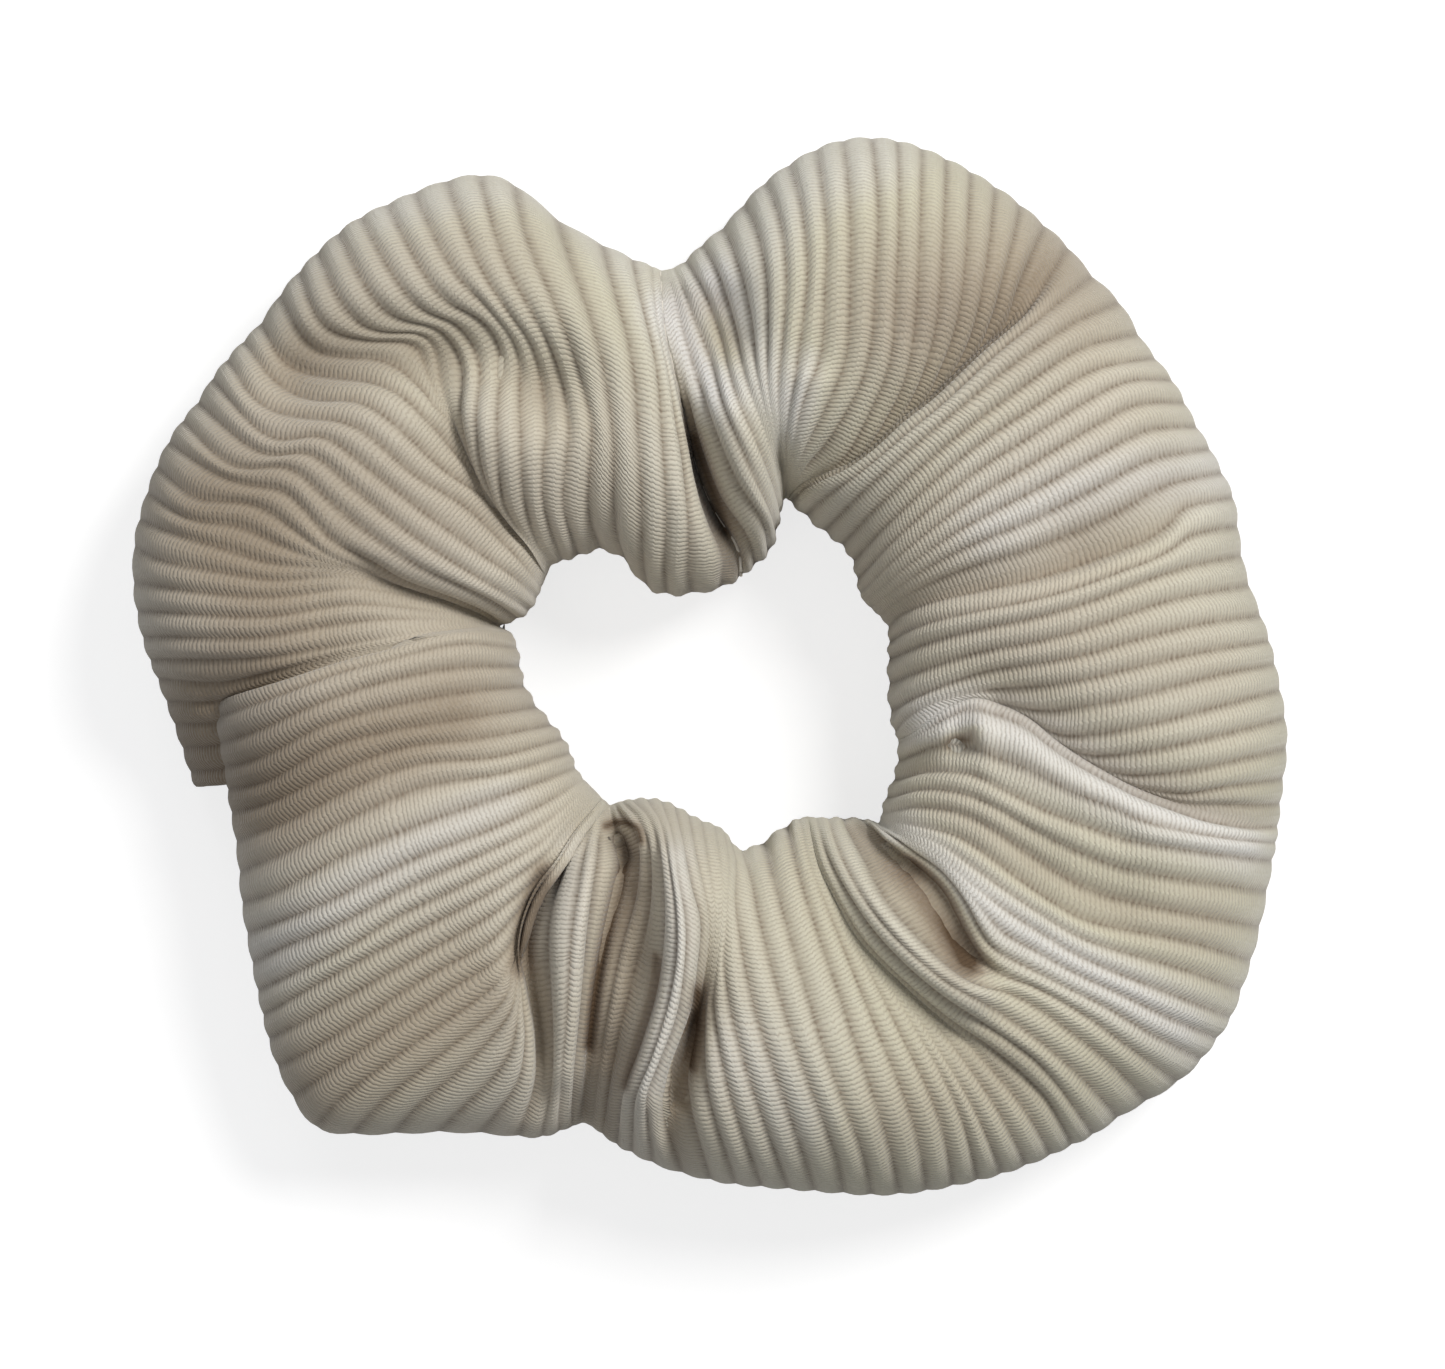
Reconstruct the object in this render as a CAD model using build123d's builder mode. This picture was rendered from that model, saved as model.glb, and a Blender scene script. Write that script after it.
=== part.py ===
from build123d import *

import os
from math import cos, degrees, radians, sin

# A scrunchie lying flat: a tube of rib knit, gathered and closed into a ring, with a loose loop
# of braided elastic inside it. Millimetres, +Z up. The origin is on the surface that the ring
# rests on, under the middle of the elastic loop.

# Elastic loop: a flat braid on edge, lapped and sewn to itself
elastic_inner_radius = 23.5
elastic_width = 6.0
elastic_thickness = 1.3
elastic_lap = 12.0
elastic_lap_gap = 0.1
elastic_rise = 10.0  # length over which the free end climbs outside the other end

# Rubber strands in the braid, square in section
strand_count = 7
strand_size = 0.45
strand_clearance = 0.05
strand_end_inset = 0.3

# Knit cover
cover_wall = 1.4
cover_clearance = 0.4  # between the cover and all that turns with the elastic
ruffle_reach = 29.0  # how far the ring stands out from the elastic, on average
ring_height = 24.0
foot_radius = 3.0  # rounding of the ring where it leaves the surface it rests on

# The ring is shaped by sections a constant angle apart. The first lies at first_section_angle,
# and one of them is the closing seam.
first_section_angle = 6.0
closing_seam_section = 6
# How far the gathers reach into the hole from the elastic's casing, section by section
gather_depths = [
    5.1, 6.1, 4.8, 5.3, 11.0, 14.1, 14.8, 14.3, 11.0, 5.4, 3.9, 1.8,
    3.3, 5.5, 5.3, 5.2, 7.4, 7.4, 4.9, 4.2, 3.3, 0.8, 2.2, 4.1,
]  # fmt: skip
# How much further than ruffle_reach the ring stands out
ruffle_swells = [
    -0.9, -0.9, -0.9, 0.0, 0.8, -4.6, -15.1, -4.1, 1.5, 0.9, 2.5, 3.0,
    -1.2, -4.4, 0.3, 5.2, -3.6, -5.3, -2.5, 1.5, 4.5, 7.5, 4.8, 3.0,
]  # fmt: skip
# How much higher than ring_height the ring stands
crown_swells = [
    0.0, 1.0, 0.0, 1.0, 1.5, 1.0, -3.0, 0.0, 1.5, 1.0, 0.0, -1.0,
    -1.0, -1.5, -2.5, -5.0, -2.0, 1.0, 1.0, 0.0, 0.5, -0.5, 0.0, 1.0,
]  # fmt: skip

# Sewing
thread_radius = 0.15
thread_bend = 0.2
seam_allowance = 6.0
long_seam_from_elastic = 7.5  # from the elastic's inner face to the middle of the long seam
long_seam_stitches = 72
needle_line_height = 1.0  # of the long seam's needle stitches above the casing's floor
stitch_fill = 0.7  # share of a stitch's pitch that its thread covers
closing_seam_pitch = 2.8
join_stitches = 8
join_margin = 1.4  # from the lap's ends and edges to the zigzag

# Worked out from the values above
section_count = len(gather_depths)
section_step = 360 / section_count
stitch_stand = 2 * thread_radius
casing_inner_radius = elastic_inner_radius - stitch_stand - cover_clearance
casing_floor = cover_wall
elastic_floor = casing_floor + cover_clearance
layer_pitch = elastic_thickness + elastic_lap_gap
inner_layer_radius = elastic_inner_radius + elastic_thickness / 2
outer_layer_radius = inner_layer_radius + layer_pitch
lap_outer_radius = outer_layer_radius + elastic_thickness / 2
casing_outer_radius = lap_outer_radius + stitch_stand + cover_clearance
casing_middle_radius = (casing_inner_radius + casing_outer_radius) / 2
closing_seam_angle = first_section_angle + closing_seam_section * section_step
lap_angle = degrees(elastic_lap / outer_layer_radius)
lap_start = closing_seam_angle - lap_angle / 2
rise_angle = degrees(elastic_rise / outer_layer_radius)
rise_end = lap_start + 360 - rise_angle / 4
rise_start = rise_end - rise_angle
long_seam_radius = elastic_inner_radius + long_seam_from_elastic


def section_plane(index):
    """Upright plane through the loop's axis: x away from the axis, y up."""
    angle = radians(first_section_angle + index * section_step)
    return Plane(origin=(0, 0, 0), x_dir=(cos(angle), sin(angle), 0), z_dir=(sin(angle), -cos(angle), 0))


def ring_section(index, inset):
    """Outline of the gathered tube, flat at its foot and domed above, moved in by inset."""
    index = index % section_count
    inner = casing_inner_radius - cover_wall - gather_depths[index] + inset
    outer = elastic_inner_radius + ruffle_reach + ruffle_swells[index] - inset
    crown = ring_height + crown_swells[index] - inset
    foot = foot_radius - inset
    shoulder = foot_radius
    with BuildLine() as outline:
        Line((inner + foot, inset), (outer - foot, inset))
        CenterArc((outer - foot, shoulder), foot, -90, 90)
        EllipticalCenterArc(
            ((inner + outer) / 2, shoulder),
            (outer - inner) / 2,
            crown - shoulder,
            start_angle=0,
            arc_size=180,
        )
        CenterArc((inner + foot, shoulder), foot, 180, 90)
    return outline.wire()


def ring_body(inset):
    """Two half rings through the sections, joined where they meet."""
    half = section_count // 2
    with BuildPart() as body:
        for start in (0, half):
            for index in range(start, start + half + 1):
                with BuildSketch(section_plane(index)):
                    make_face(ring_section(index, inset).edges())
            loft()
    return body.part


def strip(half_thickness, end_inset):
    """Face of a strip that goes round the loop and ends outside its own start."""
    first = lap_start + degrees(end_inset / inner_layer_radius)
    last = lap_start + 360 + lap_angle - degrees(end_inset / outer_layer_radius)
    starts = []
    ends = []
    with BuildLine() as outline:
        for side in (-half_thickness, half_thickness):
            under = CenterArc((0, 0), inner_layer_radius + side, first, rise_start - first)
            over = CenterArc((0, 0), outer_layer_radius + side, rise_end, last - rise_end)
            Spline(under @ 1, over @ 0, tangents=(under % 1, over % 0))
            starts.append(under @ 0)
            ends.append(over @ 1)
        Line(*starts)
        Line(*ends)
    make_face(outline.line.edges())


def thread_along(points):
    """A length of sewing thread that follows the points."""
    with BuildPart() as length:
        with BuildLine() as path:
            FilletPolyline(*points, radius=thread_bend)
        with BuildSketch(Plane(origin=path.line @ 0, z_dir=path.line % 0)):
            Circle(thread_radius)
        sweep()
    return length.part


def on_loop(radius, angle, height):
    """Point at an angle round the loop."""
    return Vector(radius * cos(radians(angle)), radius * sin(radians(angle)), height)


def strand_planes(lowest, size):
    """One plane for each rubber strand, spread evenly over the braid's width."""
    pitch = elastic_width / strand_count
    middle = elastic_floor + pitch / 2
    return [Plane.XY.offset(middle + row * pitch - size / 2 + lowest) for row in range(strand_count)]


os.makedirs("parts", exist_ok=True)


def save(part, name):
    part.label = name
    export_step(part, f"parts/{name}.step")


# Cover: a hollow gathered tube, with its seam allowance standing inside along the long seam
with BuildPart() as casing_space:
    add(ring_body(cover_wall))
    with BuildSketch(Plane.XZ):
        with Locations((casing_middle_radius, casing_floor)):
            Rectangle(
                casing_outer_radius - casing_inner_radius,
                elastic_width + 2 * cover_clearance,
                align=(Align.CENTER, Align.MIN),
            )
    revolve(axis=Axis.Z)

with BuildPart() as cover:
    add(ring_body(0))
    add(casing_space.part, mode=Mode.SUBTRACT)
    with BuildSketch(Plane.XZ):
        with Locations((long_seam_radius, casing_floor / 2)):
            Rectangle(
                2 * cover_wall, casing_floor / 2 + seam_allowance, align=(Align.CENTER, Align.MIN)
            )
    revolve(axis=Axis.Z)
save(cover.part, "cover")

# Elastic: the braid, and the rubber strands in its tunnels
tunnel_size = strand_size + 2 * strand_clearance
with BuildPart() as elastic_braid:
    with BuildSketch(Plane.XY.offset(elastic_floor)):
        strip(elastic_thickness / 2, 0)
    extrude(amount=elastic_width)
    with BuildSketch(*strand_planes(0, tunnel_size)):
        strip(tunnel_size / 2, 0)
    extrude(amount=tunnel_size, mode=Mode.SUBTRACT)
save(elastic_braid.part, "elastic_braid")

with BuildPart() as elastic_rubber_strands:
    with BuildSketch(*strand_planes(0, strand_size)):
        strip(strand_size / 2, strand_end_inset)
    extrude(amount=strand_size)
save(elastic_rubber_strands.part, "elastic_rubber_strands")


# Join in the elastic: a zigzag through both layers of the lap, one thread on each face
def zigzag_stitches(face_radius, leg_end_radius):
    """Stitches up and down across the lap, each with a leg into it at both ends."""
    margin_angle = degrees(join_margin / face_radius)
    step = (lap_angle - 2 * margin_angle) / join_stitches
    low = elastic_floor + join_margin
    climb = elastic_width - 2 * join_margin
    stitches = []
    for number in range(join_stitches):
        points = []
        for radius, share in (
            (leg_end_radius, 1 - stitch_fill),
            (face_radius, 1 - stitch_fill),
            (face_radius, stitch_fill),
            (leg_end_radius, stitch_fill),
        ):
            rise = share if number % 2 == 0 else 1 - share
            angle = lap_start + margin_angle + (number + share) * step
            points.append(on_loop(radius, angle, low + rise * climb))
        stitches.append(thread_along(points))
    return stitches


lap_middle_radius = (inner_layer_radius + outer_layer_radius) / 2
for thread_name, face_radius, leg_end_radius in (
    ("elastic_join_needle_thread", lap_outer_radius + thread_radius, lap_middle_radius + thread_radius),
    ("elastic_join_bobbin_thread", elastic_inner_radius - thread_radius, lap_middle_radius - thread_radius),
):
    with BuildPart() as join_thread:
        for stitch in zigzag_stitches(face_radius, leg_end_radius):
            add(stitch)
    save(join_thread.part, thread_name)


# Long seam: three threads overlocked round the raw edge of the seam allowance
stitch_angle = 360 / long_seam_stitches
near_face = long_seam_radius - cover_wall - thread_radius
far_face = long_seam_radius + cover_wall + thread_radius
needle_line = casing_floor + needle_line_height
looper_line = needle_line + 3 * thread_radius + thread_bend
raw_edge = casing_floor + seam_allowance
half_stitch = stitch_angle * stitch_fill / 2

needle_stitch = thread_along(
    [
        on_loop(long_seam_radius + thread_radius, -half_stitch, needle_line),
        on_loop(near_face, -half_stitch, needle_line),
        on_loop(near_face, half_stitch, needle_line),
        on_loop(long_seam_radius + thread_radius, half_stitch, needle_line),
    ]
)
upper_looper_stitch = thread_along(
    [
        on_loop(near_face, -half_stitch, looper_line),
        on_loop(near_face, 0, raw_edge + thread_radius),
        on_loop(far_face, 0, raw_edge + thread_radius),
        on_loop(far_face, 0, raw_edge - 2 * thread_bend),
    ]
)
lower_looper_stitch = thread_along(
    [
        on_loop(far_face, -half_stitch, needle_line),
        on_loop(far_face, 0, raw_edge - 3 * thread_bend - 2 * thread_radius),
        on_loop(far_face, half_stitch, needle_line),
    ]
)

with BuildPart() as long_seam_needle_thread:
    with PolarLocations(0, long_seam_stitches):
        add(needle_stitch)
save(long_seam_needle_thread.part, "long_seam_needle_thread")

with BuildPart() as long_seam_upper_looper_thread:
    with PolarLocations(0, long_seam_stitches):
        add(upper_looper_stitch)
save(long_seam_upper_looper_thread.part, "long_seam_upper_looper_thread")

with BuildPart() as long_seam_lower_looper_thread:
    with PolarLocations(0, long_seam_stitches):
        add(lower_looper_stitch)
save(long_seam_lower_looper_thread.part, "long_seam_lower_looper_thread")


# Closing seam: lockstitches round the tube. The needle thread is pulled in flush with the
# outside of the knit, and the bobbin thread lies on its inside.
def closing_stitches(inset, away):
    """Stitches along the section, on the side that away gives: 1 outside, -1 inside."""
    outline = ring_section(closing_seam_section, inset)
    count = int(outline.length / closing_seam_pitch)
    pitch = outline.length / count
    sink = cover_wall / 2 - thread_radius
    stitches = []
    for number in range(count):
        points = []
        for share, depth in ((0, sink), (0, 0), (stitch_fill, 0), (stitch_fill, sink)):
            along = (number + share) * pitch
            spot = outline.position_at(along, position_mode=PositionMode.LENGTH)
            heading = outline.tangent_at(along, position_mode=PositionMode.LENGTH)
            outward = Vector(heading.Y, -heading.X, 0) * away
            points.append(spot - outward * depth)
        stitches.append(thread_along(points))
    return stitches


for thread_name, inset, away in (
    ("closing_seam_needle_thread", thread_radius, 1),
    ("closing_seam_bobbin_thread", cover_wall, -1),
):
    with BuildPart() as closing_thread:
        with Locations(section_plane(closing_seam_section).location):
            for stitch in closing_stitches(inset, away):
                add(stitch)
    save(closing_thread.part, thread_name)
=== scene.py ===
import math

import bpy
import numpy as np
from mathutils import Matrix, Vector


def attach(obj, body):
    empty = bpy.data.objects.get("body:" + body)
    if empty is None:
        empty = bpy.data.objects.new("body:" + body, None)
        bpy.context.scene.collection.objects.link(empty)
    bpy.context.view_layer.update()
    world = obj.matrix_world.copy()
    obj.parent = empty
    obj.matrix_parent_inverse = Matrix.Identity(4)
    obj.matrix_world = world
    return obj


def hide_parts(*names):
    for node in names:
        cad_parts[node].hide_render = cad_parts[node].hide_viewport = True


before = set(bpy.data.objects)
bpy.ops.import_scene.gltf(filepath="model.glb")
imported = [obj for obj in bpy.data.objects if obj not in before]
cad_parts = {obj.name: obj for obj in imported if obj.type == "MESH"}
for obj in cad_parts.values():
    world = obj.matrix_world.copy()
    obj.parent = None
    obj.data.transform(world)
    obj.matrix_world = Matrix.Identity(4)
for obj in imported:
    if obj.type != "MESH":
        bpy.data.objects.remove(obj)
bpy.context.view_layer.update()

MM = 0.001

# ---- The cover's ribs, seen from above, in mm from the middle of the elastic loop ----
# Each line follows the valley beside a rib from the hole to the rim. Ribs that vanish into a
# fold run along it to the hole.
SWIRL = [(-15.6, 8.3), (-17.0, 10.8), (-19.0, 13.2), (-20.6, 15.5), (-22.0, 17.9), (-24.0, 22.5)]
SHOULDER = [(-20.0, 3.6), (-22.0, 4.8), (-25.0, 6.0), (-29.0, 7.3), (-32.0, 8.5)]
TUCK = [(-19.0, 3.0), (-22.0, 3.3), (-28.8, 2.0)]
PANEL_ROLL = [(-10.3, -12.8), (-12.6, -15.6), (-14.2, -18.3), (-16.3, -21.2), (-17.5, -24.1)]
LOWER_ROLL = [(9.2, -14.5), (10.1, -18.9), (12.2, -23.2), (13.6, -25.5), (15.5, -27.6), (17.6, -29.6),
              (19.8, -31.6), (22.2, -33.6), (24.9, -35.3), (27.2, -37.0), (29.6, -39.0)]
SIDE_RIDGE = [(17.8, -7.2), (19.8, -6.0), (22.0, -4.3), (24.5, -3.3), (26.6, -3.7), (28.6, -4.5),
              (30.3, -5.6), (31.9, -7.0), (34.3, -8.7), (37.0, -10.3), (39.7, -11.7), (42.7, -13.0)]
TOP_CREASE = [(7.3, 15.6), (8.2, 16.6), (9.7, 17.4), (12.7, 18.5), (15.0, 20.0), (17.8, 22.7), (20.2, 24.4),
              (22.5, 26.6), (25.2, 29.2), (27.6, 31.2), (29.3, 32.9)]

# (name, ribs since the line before, points, how far its outer part is tucked down)
RIB_LINES = [
    ("panel_edge", 0, [(1.5, 7.2), (2.0, 10.0), (0.5, 13.0), (-0.5, 15.0), (-1.6, 18.0), (-2.4, 22.3),
        (-3.4, 27.0), (-4.3, 31.0), (-4.8, 37.3)], 0),
    ("", 1, [(-1.9, 6.5), (-2.3, 8.7), (-1.8, 13.7), (-2.1, 18.8), (-2.9, 22.5), (-3.9, 27.5),
        (-4.8, 32.0), (-5.3, 37.6)], 0),
    ("", 1, [(-4.3, 6.4), (-4.3, 9.0), (-4.1, 13.7), (-4.2, 18.8), (-4.6, 27.2), (-5.6, 32.0),
        (-7.2, 38.3)], 0),
    ("", 1, [(-6.3, 7.1), (-6.5, 9.5), (-6.4, 13.7), (-6.6, 20.4), (-6.9, 27.2), (-8.0, 32.6),
        (-9.9, 39.6)], 0),
    ("", 1, [(-8.3, 10.2), (-9.0, 12.0), (-9.3, 15.4), (-9.1, 20.4), (-9.6, 25.5), (-10.9, 31.9),
        (-14.3, 41.8)], 0),
    ("", 1, [(-10.6, 11.0), (-11.4, 14.0), (-11.1, 19.1), (-11.1, 22.8), (-12.8, 28.2), (-14.6, 33.9),
        (-17.1, 40.0), (-18.6, 45.8)], 0),
    ("", 1, [(-12.6, 10.1), (-13.7, 14.5), (-13.3, 18.8), (-13.2, 22.2), (-14.5, 27.8), (-16.3, 31.9),
        (-19.3, 38.0), (-21.7, 46.5)], 0),
    ("", 1, [(-14.1, 9.7), (-15.5, 14.5), (-15.5, 18.8), (-15.2, 22.8), (-16.5, 28.9), (-19.0, 32.6),
        (-21.4, 37.0), (-24.9, 45.9)], 0),
    ("", 1, [(-15.2, 9.4), (-16.6, 11.5), (-17.3, 15.4), (-17.6, 22.8), (-18.0, 28.9), (-20.7, 32.9),
        (-24.4, 37.3), (-28.1, 44.7)], 0),
    ("", 1, [(-15.4, 8.7), (-16.9, 10.9), (-18.9, 13.3), (-19.8, 15.6), (-19.7, 22.8), (-19.5, 28.5),
        (-21.0, 31.5), (-25.4, 34.3), (-30.6, 43.6)], 0),
    ("", 1, SWIRL[:4] + [(-21.8, 18.5), (-22.0, 22.1), (-21.5, 27.2), (-23.7, 31.2), (-27.8, 33.6),
        (-33.2, 42.4)], 0),
    ("swirl", 1, SWIRL[:5] + [(-23.6, 22.8), (-23.2, 27.5), (-25.4, 30.9), (-30.6, 32.9), (-35.3, 40.9)],
        0),
    ("", 1, SWIRL + [(-25.3, 25.5), (-25.8, 28.9), (-27.1, 30.6), (-32.8, 31.4), (-37.3, 39.0)], 0),
    ("", 1, SWIRL + [(-26.1, 26.5), (-27.4, 29.7), (-32.2, 30.2), (-36.5, 31.6), (-38.9, 37.3)], 0),
    ("", 1, SWIRL + [(-25.4, 23.8), (-26.8, 25.8), (-30.8, 28.4), (-36.9, 29.2), (-40.8, 35.1)], 0),
    ("", 1, SWIRL[:5] + [(-22.9, 19.0), (-25.8, 22.5), (-29.5, 25.7), (-34.9, 26.9), (-39.9, 27.9),
        (-42.6, 32.2)], 0),
    ("", 1, SWIRL[:4] + [(-24.4, 17.8), (-28.8, 21.8), (-32.8, 24.5), (-38.2, 25.0), (-44.3, 30.6)], 0),
    ("", 1, [(-16.0, 7.3), (-18.7, 11.0), (-23.0, 15.1), (-27.8, 17.8), (-32.5, 21.8), (-37.5, 23.1),
        (-42.3, 24.5), (-45.8, 28.9)], 0),
    ("", 1, [(-16.4, 6.3), (-18.3, 8.3), (-22.0, 10.7), (-27.1, 14.4), (-31.8, 18.1), (-36.2, 21.1),
        (-41.3, 21.1), (-47.2, 27.2)], 0),
    ("", 1, [(-17.0, 5.0), (-22.7, 8.7), (-27.8, 12.0), (-32.5, 15.7), (-36.9, 19.3), (-41.6, 19.6),
        (-48.6, 24.7)], 0),
    ("", 1, [(-18.3, 4.1), (-20.8, 5.8), (-26.1, 8.3), (-30.8, 11.4), (-35.5, 15.1), (-39.6, 18.3),
        (-45.0, 18.4), (-50.0, 23.2)], 0),
    ("shoulder", 1, SHOULDER[:4] + [(-31.5, 8.9), (-35.5, 11.4), (-39.2, 15.7), (-43.6, 16.7),
        (-51.4, 21.1)], 0),
    ("", 1, SHOULDER + [(-35.5, 9.8), (-38.9, 12.4), (-42.9, 14.9), (-48.3, 15.4), (-52.5, 18.8)], 0),
    ("", 1, SHOULDER + [(-35.5, 9.2), (-39.6, 10.7), (-43.9, 12.7), (-49.0, 13.5), (-53.4, 16.4)], 0),
    ("", 1, SHOULDER[:4] + [(-32.0, 8.3), (-36.2, 8.9), (-41.3, 9.3), (-46.3, 11.0), (-54.2, 13.7)], 0),
    ("", 1, SHOULDER[:4] + [(-35.5, 8.1), (-40.2, 7.7), (-45.6, 8.5), (-51.4, 9.5), (-54.7, 11.4)], 0),
    ("", 1, [(-20.0, 3.5), (-23.0, 4.7), (-26.0, 5.8), (-32.2, 7.1), (-37.5, 6.5), (-43.9, 6.2),
        (-54.8, 7.5)], 0),
    ("", 1, [(-19.8, 3.4), (-22.0, 4.3), (-26.4, 5.0), (-33.5, 5.5), (-40.6, 4.4), (-47.3, 4.5),
        (-54.4, 4.9)], 0),
    ("", 1, [(-19.6, 3.3), (-23.4, 4.1), (-30.1, 4.3), (-36.9, 3.4), (-42.9, 2.3), (-53.9, 2.4)], 0),
    ("", 1, [(-19.2, 3.1), (-22.0, 3.5), (-28.8, 2.4), (-35.5, 1.2), (-42.3, 0.2), (-53.2, 0.2)], 0.5),
    ("", 1, TUCK + [(-35.0, 0.6), (-40.0, -0.8), (-46.0, -2.2), (-52.6, -1.4)], 2.0),
    ("", 1, TUCK + [(-35.0, 0.2), (-41.0, -2.0), (-47.0, -3.8), (-51.9, -3.6)], 3.6),
    ("", 1, TUCK + [(-35.0, -0.4), (-41.0, -3.5), (-46.0, -5.6), (-51.2, -5.8)], 4.8),
    ("", 1, TUCK + [(-35.0, -1.0), (-41.0, -5.0), (-46.0, -7.6), (-50.5, -8.1)], 5.6),
    ("", 1, TUCK + [(-34.0, -2.0), (-40.0, -7.0), (-45.0, -9.8), (-49.8, -10.4)], 6.2),
    ("tuck", 1, TUCK + [(-33.0, -3.0), (-39.0, -8.5), (-44.0, -11.8), (-49.2, -12.4)], 6.4),
    ("", 1, TUCK + [(-34.0, -2.0), (-39.5, -6.5), (-43.5, -9.0), (-46.3, -10.5)], 6.0),
    ("panel", 2, [(-18.8, 2.8), (-23.4, 2.9), (-29.0, 1.6), (-34.9, 0.4), (-39.6, -0.9), (-44.6, -2.1),
        (-46.8, -3.1)], 0),
    ("", 1, [(-18.3, 1.7), (-23.4, 2.1), (-30.1, 0.5), (-34.6, -0.6), (-39.6, -2.5), (-47.1, -5.2)], 0),
    ("", 1, [(-18.0, -0.2), (-23.4, -0.4), (-30.1, -1.6), (-36.9, -4.0), (-42.3, -6.3), (-46.7, -7.7)], 0),
    ("", 1, [(-17.7, -2.0), (-22.7, -2.6), (-28.8, -3.8), (-35.5, -5.7), (-42.3, -8.9), (-46.2, -9.9)], 0),
    ("", 1, [(-16.5, -4.0), (-22.0, -5.0), (-29.5, -6.3), (-35.5, -7.7), (-41.3, -11.0), (-45.8, -11.9)],
        0),
    ("", 1, [(-15.0, -5.7), (-22.0, -7.0), (-28.8, -7.9), (-35.5, -10.4), (-41.6, -13.1), (-45.5, -14.0)],
        0),
    ("", 1, [(-13.9, -7.0), (-20.0, -8.8), (-26.4, -9.2), (-32.2, -11.0), (-38.9, -14.3), (-45.0, -16.8)],
        0),
    ("", 1, [(-13.2, -8.4), (-19.5, -10.2), (-26.4, -11.2), (-32.2, -13.6), (-38.2, -16.8),
        (-44.7, -19.7)], 0),
    ("", 1, [(-12.8, -9.9), (-18.7, -12.0), (-23.4, -13.7), (-28.8, -15.8), (-34.9, -18.1), (-40.9, -21.5),
        (-44.5, -22.6)], 0),
    ("", 1, [(-12.0, -11.0), (-15.0, -12.9), (-20.7, -15.8), (-26.8, -18.0), (-32.2, -20.7),
        (-36.9, -22.9), (-44.0, -25.5)], 0),
    ("", 1, [(-11.4, -11.6), (-15.3, -14.8), (-22.0, -18.1), (-27.8, -20.8), (-33.8, -23.9),
        (-39.9, -26.4), (-43.5, -28.4)], 0),
    ("", 1, [(-11.0, -12.0), (-14.3, -15.4), (-16.4, -17.2), (-22.7, -20.6), (-28.8, -23.5),
        (-34.2, -26.9), (-43.0, -31.0)], 0),
    ("", 1, [(-10.7, -12.3), (-13.9, -16.0), (-16.4, -18.8), (-23.7, -23.1), (-30.5, -26.5),
        (-36.9, -29.9), (-42.5, -33.3)], 0),
    ("", 1, PANEL_ROLL[:3] + [(-17.0, -21.2), (-22.7, -24.8), (-29.5, -28.7), (-35.5, -32.0),
        (-42.0, -35.5)], 0),
    ("", 1, PANEL_ROLL[:4] + [(-20.0, -25.6), (-26.8, -29.4), (-32.8, -33.4), (-38.2, -36.6),
        (-41.2, -38.1)], 0),
    ("", 1, PANEL_ROLL + [(-19.0, -27.0), (-23.4, -29.8), (-28.8, -33.4), (-34.2, -37.2), (-39.8, -41.0)],
        0),
    ("", 1, PANEL_ROLL + [(-18.7, -28.8), (-24.1, -33.0), (-29.5, -36.8), (-34.9, -41.0), (-37.6, -44.4)],
        0),
    ("", 1, PANEL_ROLL + [(-18.4, -28.4), (-18.9, -31.3), (-24.1, -35.8), (-29.5, -40.2), (-33.9, -44.7)],
        0),
    ("", 1, PANEL_ROLL + [(-18.0, -28.5), (-18.3, -32.3), (-22.0, -36.6), (-27.8, -42.0), (-29.9, -44.6)],
        0),
    ("", 1, PANEL_ROLL + [(-17.9, -28.0), (-17.7, -32.0), (-18.6, -37.0), (-23.4, -42.2), (-25.7, -44.4)],
        0),
    ("", 1, PANEL_ROLL + [(-17.9, -27.0), (-17.4, -31.5), (-17.0, -35.5), (-17.8, -39.6), (-21.7, -44.5)],
        0),
    ("panel_roll", 1, PANEL_ROLL + [(-17.9, -26.8), (-17.2, -30.1), (-16.2, -35.0), (-16.2, -40.0),
        (-18.0, -44.9)], 0),
    ("", 1, [(-10.2, -12.9), (-12.4, -15.9), (-14.0, -18.7), (-15.4, -24.1), (-15.2, -30.8),
        (-15.0, -35.9), (-15.2, -41.0), (-15.8, -45.0)], 0),
    ("", 1, [(-10.0, -13.0), (-11.6, -16.2), (-12.6, -22.4), (-13.0, -27.5), (-13.3, -32.5),
        (-13.8, -37.6), (-14.2, -44.3)], 0),
    ("", 1, [(-9.8, -13.2), (-10.2, -15.5), (-10.6, -20.0), (-11.1, -25.0), (-11.5, -30.1), (-12.1, -35.9),
        (-13.0, -43.9)], 0),
    ("pocket", 1, [(-9.6, -13.5), (-9.2, -15.0), (-8.6, -16.4), (-8.0, -18.4), (-8.4, -20.7),
        (-9.4, -24.1), (-10.1, -26.8), (-10.7, -30.1), (-11.4, -35.9), (-12.1, -43.5)], 0),
    ("", 1, [(-9.2, -13.3), (-8.2, -14.6), (-7.2, -16.2), (-6.9, -18.5), (-7.3, -22.0), (-8.5, -26.0),
        (-9.5, -31.0), (-10.3, -36.0), (-11.3, -43.9)], 0),
    ("", 1, [(-8.4, -13.0), (-6.8, -14.4), (-5.9, -17.0), (-5.8, -22.0), (-6.5, -26.0), (-7.8, -31.0),
        (-9.0, -35.5), (-10.4, -44.6)], 0),
    ("rope", 1, [(-7.4, -12.8), (-5.7, -14.5), (-4.8, -18.0), (-4.5, -24.1), (-5.1, -30.1), (-6.6, -35.2),
        (-8.0, -38.6), (-8.7, -41.5), (-9.0, -45.7)], 0),
    ("", 1, [(-5.9, -12.7), (-4.5, -15.0), (-3.9, -18.5), (-3.4, -22.4), (-3.4, -27.0), (-4.3, -32.0),
        (-5.7, -36.5), (-7.3, -40.5), (-7.6, -46.3)], 0),
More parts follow.
